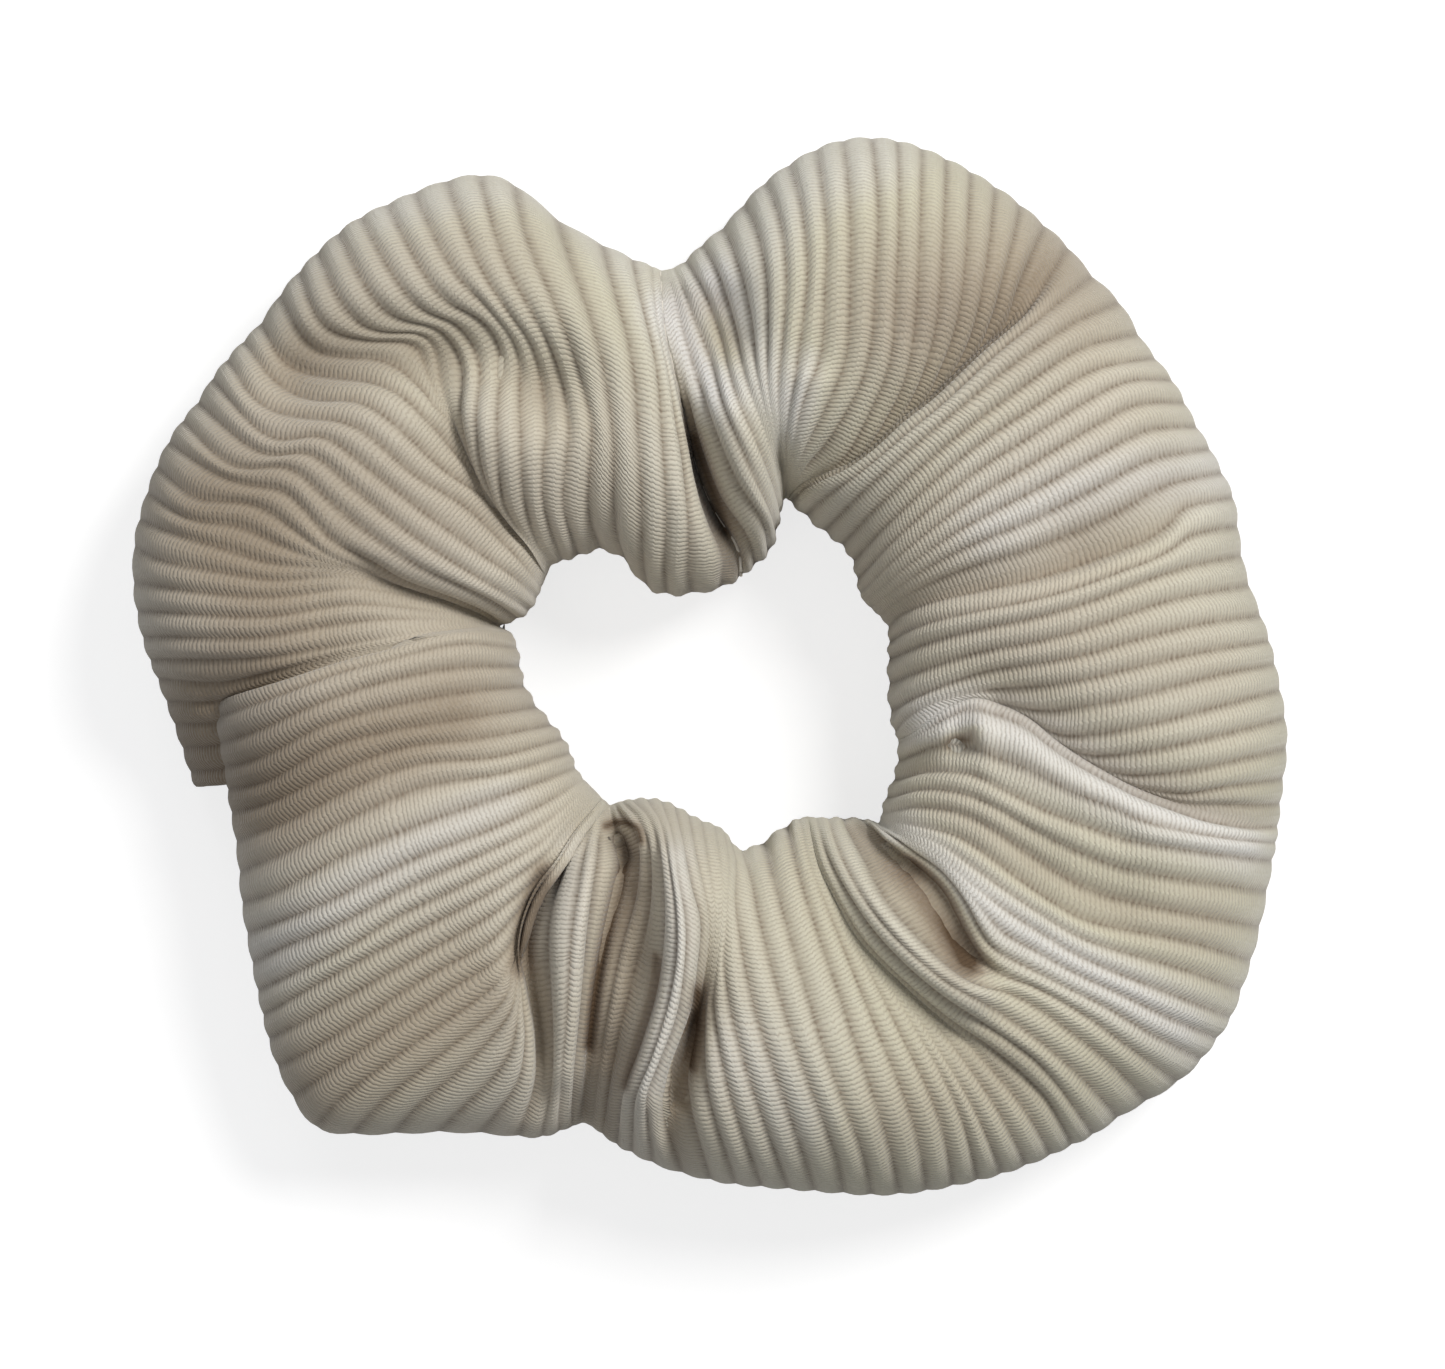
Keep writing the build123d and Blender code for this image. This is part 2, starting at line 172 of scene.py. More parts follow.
    ("", 1, [(-4.5, -12.9), (-3.5, -16.0), (-2.9, -20.0), (-2.1, -24.0), (-2.1, -28.0), (-2.8, -33.0),
        (-4.4, -37.0), (-5.8, -41.0), (-5.7, -47.3)], 0),
    ("hollow", 1, [(-3.2, -13.5), (-2.3, -17.0), (-1.3, -21.0), (-0.4, -24.1), (-0.8, -28.1),
        (-1.4, -32.2), (-2.6, -35.2), (-3.7, -38.6), (-4.1, -43.0), (-2.7, -48.4)], 0),
    ("", 1, [(-1.9, -14.3), (-1.1, -18.0), (-0.4, -21.0), (0.0, -24.1), (-0.4, -28.5), (-1.0, -32.5),
        (-2.0, -36.0), (-2.5, -40.0), (0.0, -49.0)], 0),
    ("", 1, [(-0.7, -14.9), (0.1, -20.0), (0.5, -24.0), (0.0, -28.5), (-0.7, -33.0), (-0.9, -36.9),
        (-0.2, -40.9), (2.4, -49.4)], 0),
    ("", 1, [(0.5, -15.3), (1.2, -20.0), (1.0, -24.5), (0.4, -29.0), (0.0, -32.8), (2.1, -41.3),
        (4.8, -49.6)], 0),
    ("", 1, [(1.4, -15.8), (1.8, -19.0), (1.4, -24.0), (1.0, -29.1), (3.4, -38.2), (7.4, -49.8)], 0),
    ("", 1, [(2.0, -16.9), (2.5, -18.8), (2.3, -23.0), (3.9, -31.5), (7.1, -41.6), (9.8, -50.0)], 0),
    ("", 1, [(2.9, -17.9), (4.0, -21.0), (5.2, -26.1), (8.1, -35.9), (11.5, -45.3), (12.6, -50.2)], 0),
    ("", 1, [(4.9, -17.0), (7.4, -25.4), (10.5, -35.9), (14.0, -45.3), (15.2, -50.4)], 0),
    ("", 1, [(7.3, -15.1), (9.1, -21.5), (12.5, -31.5), (16.3, -43.6), (17.9, -50.3)], 0),
    ("", 1, [(8.6, -14.6), (9.6, -19.0), (11.6, -24.0), (14.8, -32.0), (18.8, -42.0), (20.5, -50.0)], 0),
    ("", 1, LOWER_ROLL[:3] + [(14.4, -27.5), (17.2, -33.0), (21.3, -42.0), (23.0, -49.5)], 0),
    ("", 1, LOWER_ROLL[:3] + [(14.8, -27.2), (18.4, -32.5), (23.0, -41.0), (25.3, -49.0)], 0),
    ("", 1, LOWER_ROLL[:5] + [(20.2, -34.4), (24.2, -41.0), (27.6, -48.4)], 0),
    ("", 1, LOWER_ROLL[:6] + [(22.5, -35.3), (26.6, -41.2), (29.9, -47.6)], 0),
    ("", 1, LOWER_ROLL[:8] + [(27.0, -38.6), (30.0, -42.6), (32.3, -46.6)], 0),
    ("lower_roll", 1, LOWER_ROLL + [(31.6, -41.0), (34.3, -45.6)], 0),
    ("", 1, [(9.9, -14.6), (10.8, -18.0), (12.8, -21.8), (15.0, -25.0), (18.0, -28.3), (21.7, -31.4),
        (25.2, -33.6), (28.6, -35.8), (31.3, -38.2), (36.2, -44.8)], 0),
    ("", 1, [(11.2, -14.6), (12.2, -18.0), (14.0, -21.6), (16.5, -24.9), (19.5, -27.7), (22.5, -30.0),
        (25.2, -31.5), (28.2, -33.5), (31.6, -36.2), (35.0, -39.2), (38.6, -43.0)], 0),
    ("", 1, [(12.6, -14.6), (14.4, -18.0), (16.1, -22.0), (18.5, -24.7), (21.5, -27.4), (24.2, -29.3),
        (27.6, -30.4), (30.3, -31.8), (33.6, -34.2), (37.7, -37.6), (41.3, -41.5)], 0),
    ("side_pocket", 1, [(14.6, -14.7), (15.8, -16.3), (16.8, -17.1), (18.5, -18.3), (20.5, -19.7),
        (21.8, -21.0), (22.8, -23.0), (23.9, -25.4), (25.2, -27.4), (27.0, -28.8), (31.0, -30.5),
        (35.5, -33.2), (40.0, -36.6), (44.4, -39.7)], 0),
    ("", 1, [(15.4, -14.9), (16.9, -16.0), (19.1, -17.7), (21.5, -19.4), (23.4, -22.0), (24.7, -24.7),
        (26.1, -26.6), (29.3, -28.1), (33.0, -30.1), (37.0, -32.1), (41.0, -34.5), (46.7, -37.4)], 0),
    ("", 2, [(15.8, -15.1), (17.3, -15.9), (20.8, -17.8), (23.9, -20.4), (29.9, -24.4), (33.6, -26.8),
        (37.7, -28.8), (45.1, -31.8), (49.4, -33.6)], 0),
    ("", 2, [(16.0, -15.0), (19.0, -15.3), (22.9, -16.2), (26.2, -18.3), (29.3, -20.6), (32.3, -22.6),
        (35.7, -24.2), (44.4, -25.9), (51.3, -28.1)], 0),
    ("", 1, [(16.2, -14.2), (19.0, -13.4), (22.9, -13.8), (25.9, -15.2), (29.3, -17.5), (32.6, -19.7),
        (35.0, -21.0), (39.4, -22.4), (52.1, -24.9)], 0),
    ("", 1, [(16.5, -12.6), (19.5, -11.7), (23.2, -12.1), (26.6, -13.5), (29.9, -15.5), (33.0, -17.1),
        (36.0, -18.3), (40.0, -19.5), (52.8, -21.4)], 0),
    ("", 1, [(17.4, -10.9), (20.5, -10.0), (24.2, -10.3), (27.6, -12.0), (30.9, -13.7), (34.3, -14.9),
        (38.3, -16.3), (46.4, -17.6), (53.3, -18.4)], 0),
    ("", 1, [(17.7, -9.2), (20.0, -8.3), (22.9, -8.0), (25.9, -9.0), (29.9, -10.4), (34.0, -12.4),
        (37.7, -13.6), (41.0, -14.9), (53.6, -16.9)], 0),
    ("side_ridge", 1, SIDE_RIDGE + [(46.1, -14.4), (50.5, -15.4), (53.8, -15.5)], 0),
    ("", 2, SIDE_RIDGE[:11] + [(44.0, -12.6), (48.0, -11.8), (54.3, -10.9)], 0),
    ("", 1, SIDE_RIDGE[:10] + [(39.5, -10.9), (43.5, -10.4), (47.8, -9.5), (54.7, -7.9)], 0),
    ("", 1, SIDE_RIDGE[:9] + [(36.5, -9.0), (43.7, -7.6), (54.5, -5.0)], 0),
    ("", 1, SIDE_RIDGE[:8] + [(34.0, -7.2), (41.0, -5.8), (47.8, -4.0), (54.0, -2.4)], 0),
    ("", 1, SIDE_RIDGE[:6] + [(31.0, -4.8), (35.0, -4.0), (39.4, -3.1), (47.1, -1.0), (53.5, 0.1)], 0),
    ("", 1, [(17.4, -6.6), (18.2, -5.2), (20.5, -3.9), (25.2, -2.9), (33.0, -1.9), (42.7, 0.4),
        (53.0, 2.2)], 0),
    ("", 1, [(16.9, -4.6), (19.0, -3.4), (25.2, -1.1), (29.9, -0.2), (35.0, 0.8), (39.7, 2.2), (46.4, 3.8),
        (52.2, 4.5)], 0),
    ("", 1, [(16.8, -1.8), (20.0, -0.6), (25.2, 0.9), (29.9, 1.8), (35.0, 3.2), (42.4, 5.8), (51.0, 7.5)],
        0),
    ("", 1, [(16.8, 0.6), (20.2, 1.9), (25.2, 3.2), (29.9, 4.2), (35.0, 5.7), (42.4, 8.4), (50.3, 10.3)],
        0),
    ("side_crease", 2, [(16.9, 3.6), (17.8, 4.7), (20.8, 6.0), (25.2, 6.9), (29.3, 7.7), (33.0, 8.7),
        (38.4, 10.6), (41.0, 11.5), (43.1, 13.0), (44.8, 14.9), (49.7, 15.8)], 0),
    ("", 1, [(16.0, 4.5), (19.0, 6.6), (24.0, 8.7), (30.0, 10.6), (36.0, 13.0), (41.5, 16.2),
        (48.5, 18.1)], 0),
    ("", 1, [(15.2, 5.3), (19.0, 8.1), (24.0, 10.8), (30.0, 13.3), (36.0, 16.3), (41.0, 18.9),
        (47.4, 20.4)], 0),
    ("", 1, [(14.6, 5.8), (18.5, 9.1), (24.0, 12.9), (30.0, 16.0), (36.0, 19.3), (41.0, 21.8),
        (46.1, 22.4)], 0),
    ("", 1, [(14.1, 6.6), (18.0, 10.4), (24.0, 15.0), (30.0, 18.6), (36.0, 22.2), (40.0, 24.2),
        (45.0, 24.7)], 0),
    ("", 1, [(13.8, 8.0), (17.5, 11.9), (24.0, 17.3), (30.0, 21.2), (35.5, 24.7), (39.5, 26.6),
        (43.9, 26.8)], 0),
    ("", 1, [(13.5, 9.8), (17.0, 13.4), (24.0, 19.6), (30.0, 23.7), (35.5, 27.2), (42.2, 28.9)], 0),
    ("", 1, [(12.5, 11.2), (16.0, 14.9), (22.0, 20.2), (30.0, 26.3), (35.0, 29.5), (40.6, 31.0)], 0),
    ("", 1, [(10.8, 12.4), (14.5, 16.1), (20.0, 21.0), (26.0, 26.0), (30.0, 29.0), (34.5, 32.1),
        (38.9, 34.4)], 0),
    ("", 1, [(9.0, 13.9), (12.5, 16.9), (17.5, 21.1), (22.0, 24.9), (27.0, 29.6), (31.5, 33.0),
        (36.2, 36.6)], 0),
    ("top_crease", 1, TOP_CREASE + [(31.2, 35.5), (33.9, 39.6)], 0),
    ("", 1, TOP_CREASE[:10] + [(28.9, 35.0), (30.3, 38.5), (31.6, 41.6)], 0),
    ("", 1, TOP_CREASE[:9] + [(26.5, 32.2), (27.4, 35.5), (28.6, 40.0), (29.3, 43.6)], 0),
    ("", 1, TOP_CREASE[:8] + [(24.2, 29.4), (25.3, 33.5), (26.0, 38.0), (26.9, 45.3)], 0),
    ("", 1, TOP_CREASE[:7] + [(22.0, 28.0), (23.2, 32.0), (23.8, 37.0), (24.6, 46.7)], 0),
    ("", 1, TOP_CREASE[:6] + [(19.9, 26.5), (21.0, 30.5), (21.5, 36.0), (22.3, 47.9)], 0),
    ("", 1, TOP_CREASE[:5] + [(17.5, 24.0), (18.7, 28.0), (19.3, 35.0), (19.6, 42.0), (20.0, 48.9)], 0),
    ("", 1, TOP_CREASE[:4] + [(15.2, 23.5), (16.8, 28.0), (17.2, 34.0), (17.6, 42.0), (17.7, 49.6)], 0),
    ("", 1, [(7.3, 15.6), (7.8, 16.8), (9.5, 18.9), (11.8, 21.9), (14.2, 26.2), (15.1, 30.6), (15.4, 35.6),
        (15.8, 42.0), (15.3, 49.9)], 0),
    ("", 1, [(7.2, 15.7), (7.7, 17.8), (9.3, 20.4), (11.0, 23.5), (12.3, 26.9), (12.9, 31.0), (12.9, 41.0),
        (12.5, 49.7)], 0),
    ("", 1, [(7.2, 15.7), (7.4, 18.5), (7.9, 22.0), (8.8, 25.2), (9.8, 27.4), (10.4, 30.0), (10.5, 35.6),
        (10.7, 40.0), (9.9, 48.8)], 0),
    ("pinch", 1, [(7.1, 15.7), (7.1, 18.5), (7.0, 21.1), (7.6, 25.4), (8.4, 30.9), (9.0, 36.3),
        (8.4, 42.2), (7.3, 47.3)], 0),
    ("", 1, [(7.0, 15.6), (6.8, 18.5), (6.4, 21.3), (6.2, 25.4), (6.6, 30.6), (6.9, 35.8), (6.4, 41.0),
        (5.0, 45.6)], 0),
    ("", 1, [(6.9, 15.5), (6.6, 18.5), (6.0, 21.5), (5.2, 26.0), (5.1, 31.0), (5.0, 36.0), (4.3, 40.0),
        (3.0, 43.5)], 0),
    ("", 1, [(6.9, 15.4), (6.5, 18.3), (5.6, 21.6), (4.3, 26.6), (3.6, 31.6), (2.5, 36.4), (1.1, 41.2)], 0),
    ("", 1, [(6.9, 15.1), (6.3, 18.0), (5.1, 21.6), (3.2, 26.6), (2.0, 31.6), (0.4, 36.5), (-1.0, 39.7)],
        0),
    ("", 1, [(6.7, 14.4), (6.0, 17.1), (4.3, 21.2), (2.0, 26.0), (0.9, 30.4), (-0.2, 33.6), (-2.5, 38.0)],
        0),
    ("", 1, [(6.4, 12.6), (5.5, 14.9), (3.4, 18.8), (1.2, 23.5), (0.0, 28.4), (-1.8, 32.6), (-3.7, 37.4)],
        0),
    ("", 1, [(5.8, 10.6), (5.3, 12.7), (2.4, 16.6), (0.2, 21.6), (-1.0, 25.4), (-2.6, 31.6), (-4.3, 37.3)],
        0),
    ("top_slit", 1, [(4.4, 9.4), (2.8, 12.0), (0.4, 15.4), (-1.2, 19.5), (-2.1, 23.0), (-3.2, 27.5),
        (-4.2, 31.5), (-4.7, 37.25)], 0),
]
LAST_RIBS = 2  # from the last line back to the first

# Folds: (rib line at which it lies, its own path or None, height at the fold on the side before
# and after it, how far each side reaches, strength along it from the hole to the rim)
FOLDS = [
    ("panel_edge", None, (-9.0, 1.0), (1.4, 5.0), (0.5, 1, 1, 0.3, 0.12, 0.05)),
    ("swirl", SWIRL + [(-25.6, 26.5), (-28.0, 30.0)], (-3.0, -4.5), (1.8, 3.6), (0.3, 1, 1, 1, 0.7, 0.0)),
    ("shoulder", SHOULDER + [(-35.5, 9.2)], (0.5, -3.2), (3.0, 2.4), (1, 1, 1, 0.7, 0.0)),
    ("panel", None, (-2.0, 1.8), (2.0, 6.0), (0, 0.2, 0.9, 1)),
    ("panel_roll", None, (1.6, -7.0), (5.0, 1.7), (0.2, 1, 1, 0.8, 0.1)),
    ("pocket", None, (-6.0, -6.0), (1.2, 1.3), (0.6, 1, 1, 0.9, 0.8)),
    ("rope", None, (-7.0, 0.6), (2.2, 2.0), (0.0, 0.4, 1, 1, 0.9)),
    ("hollow", None, (0.3, -7.0), (2.0, 1.8), (0.0, 0.1, 0.7, 1, 0.6)),
    ("lower_roll", None, (-2.6, -1.8), (3.6, 1.4), (0.8, 1, 1, 0.8, 0.1)),
    ("side_pocket", [(14.6, -14.7), (16.8, -17.1), (20.5, -19.7), (22.8, -23.0), (25.2, -27.4),
        (26.6, -29.2)],
     (-10.0, 1.4), (2.4, 4.0), (1, 1, 1, 1, 0.1)),
    ("side_ridge", None, (2.0, -4.5), (5.0, 3.4), (0.3, 1, 1, 0.8, 0.4)),
    ("side_crease", None, (1.0, -2.6), (2.6, 2.4), (0.7, 1, 1, 0.8, 0.2)),
    ("top_crease", None, (2.2, -4.5), (3.5, 2.6), (0.6, 1, 1, 0.8, 0.2)),
    ("pinch", [(7.1, 15.9), (6.7, 18.4), (6.4, 21.2)], (-3.6, -3.0), (0.7, 0.7), (0.8, 1, 0.1)),
]
# Broad dips and swells: path, height, reach
SWELLS = [
    ([(-38.0, 27.5), (-30.0, 29.0), (-23.0, 29.0), (-16.0, 26.0)], -4.6, 4.0),
    ([(1.0, 33.0), (1.5, 30.5)], -3.6, 3.2),
    ([(-3.0, 34.0), (-1.0, 27.0)], -1.2, 1.6),
    ([(1.6, 23.0), (3.6, 18.5), (5.4, 14.0)], 1.8, 1.7),
    ([(7.6, 17.5), (8.2, 21.0), (9.4, 26.0)], 1.4, 1.3),
    ([(-42.0, 12.0), (-36.0, 5.0)], -1.0, 5.0),
    ([(-12.4, -19.0), (-12.8, -28.0), (-13.6, -38.0)], 1.8, 2.2),
    ([(-10.6, -14.4), (-8.8, -14.6), (-7.2, -15.4), (-6.0, -17.4)], 0.6, 1.0),
    ([(-8.6, -16.8), (-7.7, -18.2)], -3.0, 0.8),
    ([(-7.2, -22.0), (-8.0, -30.0), (-9.4, -36.0)], -1.4, 1.8),
    ([(-3.4, -18.0), (-3.2, -23.0), (-3.0, -28.0), (-5.0, -34.0), (-6.6, -40.0)], 2.2, 2.0),
    ([(-1.6, -33.5), (-2.2, -37.0), (-3.2, -40.5)], -2.6, 0.9),
    ([(12.4, -16.0), (15.6, -22.0), (20.0, -27.2), (24.5, -30.6)], 3.2, 2.0),
    ([(17.4, -8.0), (19.6, -6.9), (22.0, -5.6), (25.0, -4.6)], 2.0, 1.3),
    ([(17.4, -9.8), (20.0, -9.2), (22.0, -8.2), (23.6, -7.2)], -2.4, 0.7),
    ([(23.0, -7.3), (24.2, -6.9)], -2.6, 0.8),
    ([(27.0, -9.0), (33.0, -13.0), (38.0, -15.5)], -1.2, 1.6),
    ([(30.0, -18.0), (38.0, -22.0)], -1.2, 3.0),
    ([(34.0, 12.0), (42.0, 18.0)], -1.2, 4.0),
    ([(-30.0, -16.0), (-36.0, -22.0)], 1.2, 6.0),
    ([(10.0, -36.0), (14.0, -42.0)], 1.2, 6.0),
]
# Paler (above 0) and darker (below 0) places, partly painted highlight and painted shade, partly pale and
# darker patches of the cloth: path, amount, reach
LIGHT_AND_TONE_PATCHES = [
    ([(-20.0, -12.5), (-28.0, -17.0), (-41.0, -27.0)], 0.55, 3.5),
    ([(-24.0, -5.0), (-40.0, -12.0)], -1.1, 6.0),
    ([(-22.0, -31.0), (-37.0, -39.0)], -0.85, 6.5),
    ([(-46.0, 14.0), (-42.0, 4.0), (-50.0, -8.0)], -1.15, 10.0),
    ([(-36.0, 22.0), (-27.0, 12.0)], -0.55, 7.0),
    ([(-34.0, 33.0), (-20.0, 36.0)], -0.4, 7.0),
    ([(-30.0, 42.0), (-16.0, 44.0), (-8.0, 37.5)], 0.4, 2.5),
    ([(-4.0, 33.0), (0.5, 25.0)], 1.0, 2.6),
    ([(0.5, 31.5), (1.5, 29.0)], -0.5, 1.6),
    ([(2.0, 36.0), (8.0, 44.0), (16.0, 47.0)], 0.45, 4.0),
    ([(20.0, 32.0), (31.0, 36.0)], -1.05, 8.0),
    ([(26.0, 12.5), (36.0, 16.5), (47.0, 18.0)], 0.6, 3.5),
    ([(24.0, 19.0), (38.0, 27.0)], 0.2, 3.0),
    ([(28.0, 1.0), (46.0, 0.0)], -0.25, 4.0),
    ([(20.0, -5.0), (27.0, -5.0), (40.0, -13.0), (50.0, -17.0)], 0.9, 2.6),
    ([(22.0, -14.0), (34.0, -22.5), (46.0, -24.0)], -0.35, 3.0),
    ([(18.0, -16.5), (25.0, -22.0), (36.0, -29.0), (44.0, -34.0)], 0.85, 3.2),
    ([(17.6, -19.0), (20.5, -22.5), (23.4, -27.4)], -1.5, 2.0),
    ([(18.8, -18.9), (21.2, -21.4), (22.6, -24.6), (24.2, -28.0)], -2.2, 0.9),
    ([(22.4, -7.4), (24.4, -6.8)], -2.4, 0.55),
    ([(26.0, -38.0), (18.0, -42.0)], -0.3, 5.0),
    ([(2.0, -36.0), (8.0, -42.0)], 0.35, 4.0),
    ([(-15.6, -19.5), (-17.0, -23.3), (-17.6, -28.0)], -1.9, 1.0),
    ([(-1.6, 21.2), (-0.3, 17.4), (1.4, 12.4)], -2.2, 0.7),
    ([(0.0, 36.0), (4.0, 30.0), (6.0, 25.0)], 0.6, 2.6),
    ([(7.4, 21.5), (9.4, 28.0)], 0.5, 1.6),
    ([(-6.5, -20.0), (-8.0, -30.0), (-9.5, -37.0)], -0.6, 1.6),
    ([(-8.4, -16.6), (-8.0, -18.4), (-9.4, -24.1), (-10.7, -30.1), (-11.4, -35.9)], -2.5, 0.6),
    ([(-4.9, -27.5), (-5.1, -30.1), (-6.6, -35.2), (-8.0, -39.5)], -2.2, 0.55),
    ([(-9.8, -15.3), (-8.4, -14.9), (-6.9, -15.4), (-6.5, -16.6)], -2.4, 0.45),
    ([(-3.0, -18.0), (-3.0, -28.0), (-6.0, -39.0)], 0.5, 1.4),
    ([(-1.1, -30.5), (-1.3, -33.5), (-1.8, -37.5)], -2.6, 0.85),
    ([(-13.0, -17.0), (-13.0, -30.0)], 0.3, 1.5),
]

# ---- The cover's shape, in mm ----
SIDE_HEIGHT = 8.0  # of the widest part of the tube
CROWNS = [24, 25, 24, 25, 25.5, 25, 21, 24, 25.5, 25, 24, 23,
          23, 22.5, 21.5, 19, 22, 25, 25, 24, 24.5, 23.5, 24, 25]  # height of the tube round the ring
CROWN_FIRST, CROWN_STEP = 6.0, 15.0  # degrees
CLEAR_HEIGHT = 9.7  # lowest that the cover's top comes over the elastic and the long seam
LOW_HEIGHT = 1.8  # lowest that it comes elsewhere
WORKS_INNER, WORKS_OUTER = 20.0, 33.5  # radii between which the elastic and the long seam lie
TOP_ROUND, FOOT_ROUND = 2.35, 3.4  # 2 is an ellipse; more is squarer
REST_GAP = 0.35
LIP_DROP, LIP_REACH = 2.2, 1.1  # how the higher side of a fold rounds over
FOLD_RIBS = 16  # how many ribs away a fold still counts
TUCK_FROM, TUCK_LENGTH = 0.42, 0.42  # shares of the way to the rim over which a line is tucked down
PLEAT_RIBS, PLEAT_DEPTH = 3.0, 2.2  # of the pleats on the underside
WALL = 1.2
CORD_HEIGHT = 0.5  # of a rib
CORD_SQUARENESS = 3.5
CORD_STEPS = (0.0, 0.1, 0.3, 0.7, 0.9)  # columns of the mesh across a rib
FLAT_PITCH, FULL_PITCH = 0.7, 2.0  # rib spacing at which ribs vanish and at which they are full
TOP_ROWS, FOOT_ROWS = 76, 22
COURSE = 0.48  # from one row of stitches to the next
FOLD_DEPTH = 2.6  # below its surroundings at which the painted crease shade is darkest
THREAD_RADIUS = 0.15
THREAD_SIDES = 8
STITCH_PITCH = 2.8
STITCH_FILL = 0.7  # share of a stitch's pitch that its thread covers


def spline(points, count_between=6):
    """Points on a smooth line through the points."""
    p = np.array(points, float)
    p = np.vstack([2 * p[0] - p[1], p, 2 * p[-1] - p[-2]])
    t = np.linspace(0, 1, count_between, endpoint=False)[:, None]
    out = []
    for a, b, c, d in zip(p[:-3], p[1:-2], p[2:-1], p[3:]):
        bend = 2 * a - 5 * b + 4 * c - d
        twist = 3 * b - a - 3 * c + d
        out.append(0.5 * (2 * b + (c - a) * t + bend * t**2 + twist * t**3))
    return np.vstack(out + [p[-2:-1]])


def steps_along(line):
    """Length of the line up to each of its points."""
    return np.r_[0, np.cumsum(np.linalg.norm(np.diff(line, axis=0), axis=1))]


def at_lengths(line, lengths, wanted):
    """Points at the wanted lengths of a line whose points lie at these lengths."""
    return np.stack([np.interp(wanted, lengths, line[:, k]) for k in range(line.shape[1])], -1)


def round_shares(angles, squareness):
    """How far across and how high a rounded section is at each angle."""
    c, s = np.cos(angles), np.sin(angles)
    across = 0.5 * (1 - np.sign(c) * np.abs(c) ** (2 / squareness))
    return across, np.abs(s) ** (2 / squareness)


def blurred(values, width):
    """Values averaged along the ring, over about width columns."""
    kernel = np.exp(-0.5 * (np.arange(-3 * width, 3 * width + 1) / width) ** 2)
    kernel /= kernel.sum()
    out = np.zeros_like(values)
    for k, share in enumerate(kernel):
        out += share * np.roll(values, k - 3 * width, axis=0)
    return out


def smooth_step(x):
    x = np.clip(x, 0, 1)
    return x * x * (3 - 2 * x)


def nearest(points, path):
    """Distance from each point to a path, and the share of the path at which it is nearest."""
    line = spline(path, 3)
    lengths = steps_along(line)
    best = np.full(points.shape[:-1], np.inf)
    share = np.zeros(points.shape[:-1])
    for a, b, start in zip(line[:-1], line[1:], lengths):
        d = b - a
        t = np.clip(((points - a) @ d) / (d @ d), 0, 1)
        away = np.linalg.norm(points - (a + t[..., None] * d), axis=-1)
        closer = away < best
        best = np.where(closer, away, best)
        share = np.where(closer, (start + t * np.linalg.norm(d)) / lengths[-1], share)
    return best, share


def rib_positions():
    """Rib number at which each line lies, by order and by name, and the number of ribs."""
    numbers = np.cumsum([line[1] for line in RIB_LINES])
    names = {line[0]: number for line, number in zip(RIB_LINES, numbers) if line[0]}
    return numbers, names, int(numbers[-1] + LAST_RIBS)


def seen_from_above(columns, shares):
    """Where each column and row of the top lies in the flat, and how far each column is tucked."""
    numbers, _, rib_count = rib_positions()
    lines = []
    for _, _, path, _ in RIB_LINES:
        line = spline(path)
        lengths = steps_along(line)
        lines.append(at_lengths(line, lengths, shares * lengths[-1]))
    lines = np.array(lines + lines[:1])
    sunk = np.array([line[3] for line in RIB_LINES + RIB_LINES[:1]], float)
    numbers = np.r_[numbers, rib_count]
    flat = [[np.interp(columns, numbers, lines[:, r, k]) for r in range(TOP_ROWS)] for k in (0, 1)]
    flat = np.stack(flat, -1).transpose(1, 0, 2)
    return blurred(flat, 2), blurred(np.interp(columns, numbers, sunk), 2)


def crown_heights(flat):
    """Height of the tube at each column."""
    middle = flat[:, TOP_ROWS // 2]
    bearing = np.degrees(np.arctan2(middle[:, 1], middle[:, 0]))
    place = (bearing - CROWN_FIRST) % 360 / CROWN_STEP
    return blurred(np.interp(place, np.arange(len(CROWNS) + 1), CROWNS + CROWNS[:1]), 12)


def folds_at(flat, columns):
    """What the folds add to the height."""
    _, names, rib_count = rib_positions()
    paths = {line[0]: line[2] for line in RIB_LINES}
    added = np.zeros(flat.shape[:2])
    for name, path, amounts, reaches, strengths in FOLDS:
        away, share = nearest(flat, path or paths[name])
        strength = np.interp(share, np.linspace(0, 1, len(strengths)), strengths)
        offset = (columns - names[name] + rib_count / 2) % rib_count - rib_count / 2
        close = np.exp(-((np.abs(offset) / FOLD_RIBS) ** 4))
        for amount, reach, on_side in zip(amounts, reaches, (offset < 0, offset >= 0)):
            bump = amount * np.exp(-((away / reach) ** 1.25))
            if amount >= 0:
                bump = bump - LIP_DROP * np.exp(-((away / LIP_REACH) ** 2))
            added += np.where(on_side[:, None], bump, 0) * strength * close[:, None]
    return added


def swells_at(flat, swells):
    """Sum of the soft bumps along their paths."""
    added = np.zeros(flat.shape[:2])
    for path, amount, reach in swells:
        away, _ = nearest(flat, path)
        added += amount * np.exp(-((away / reach) ** 2))
    return added


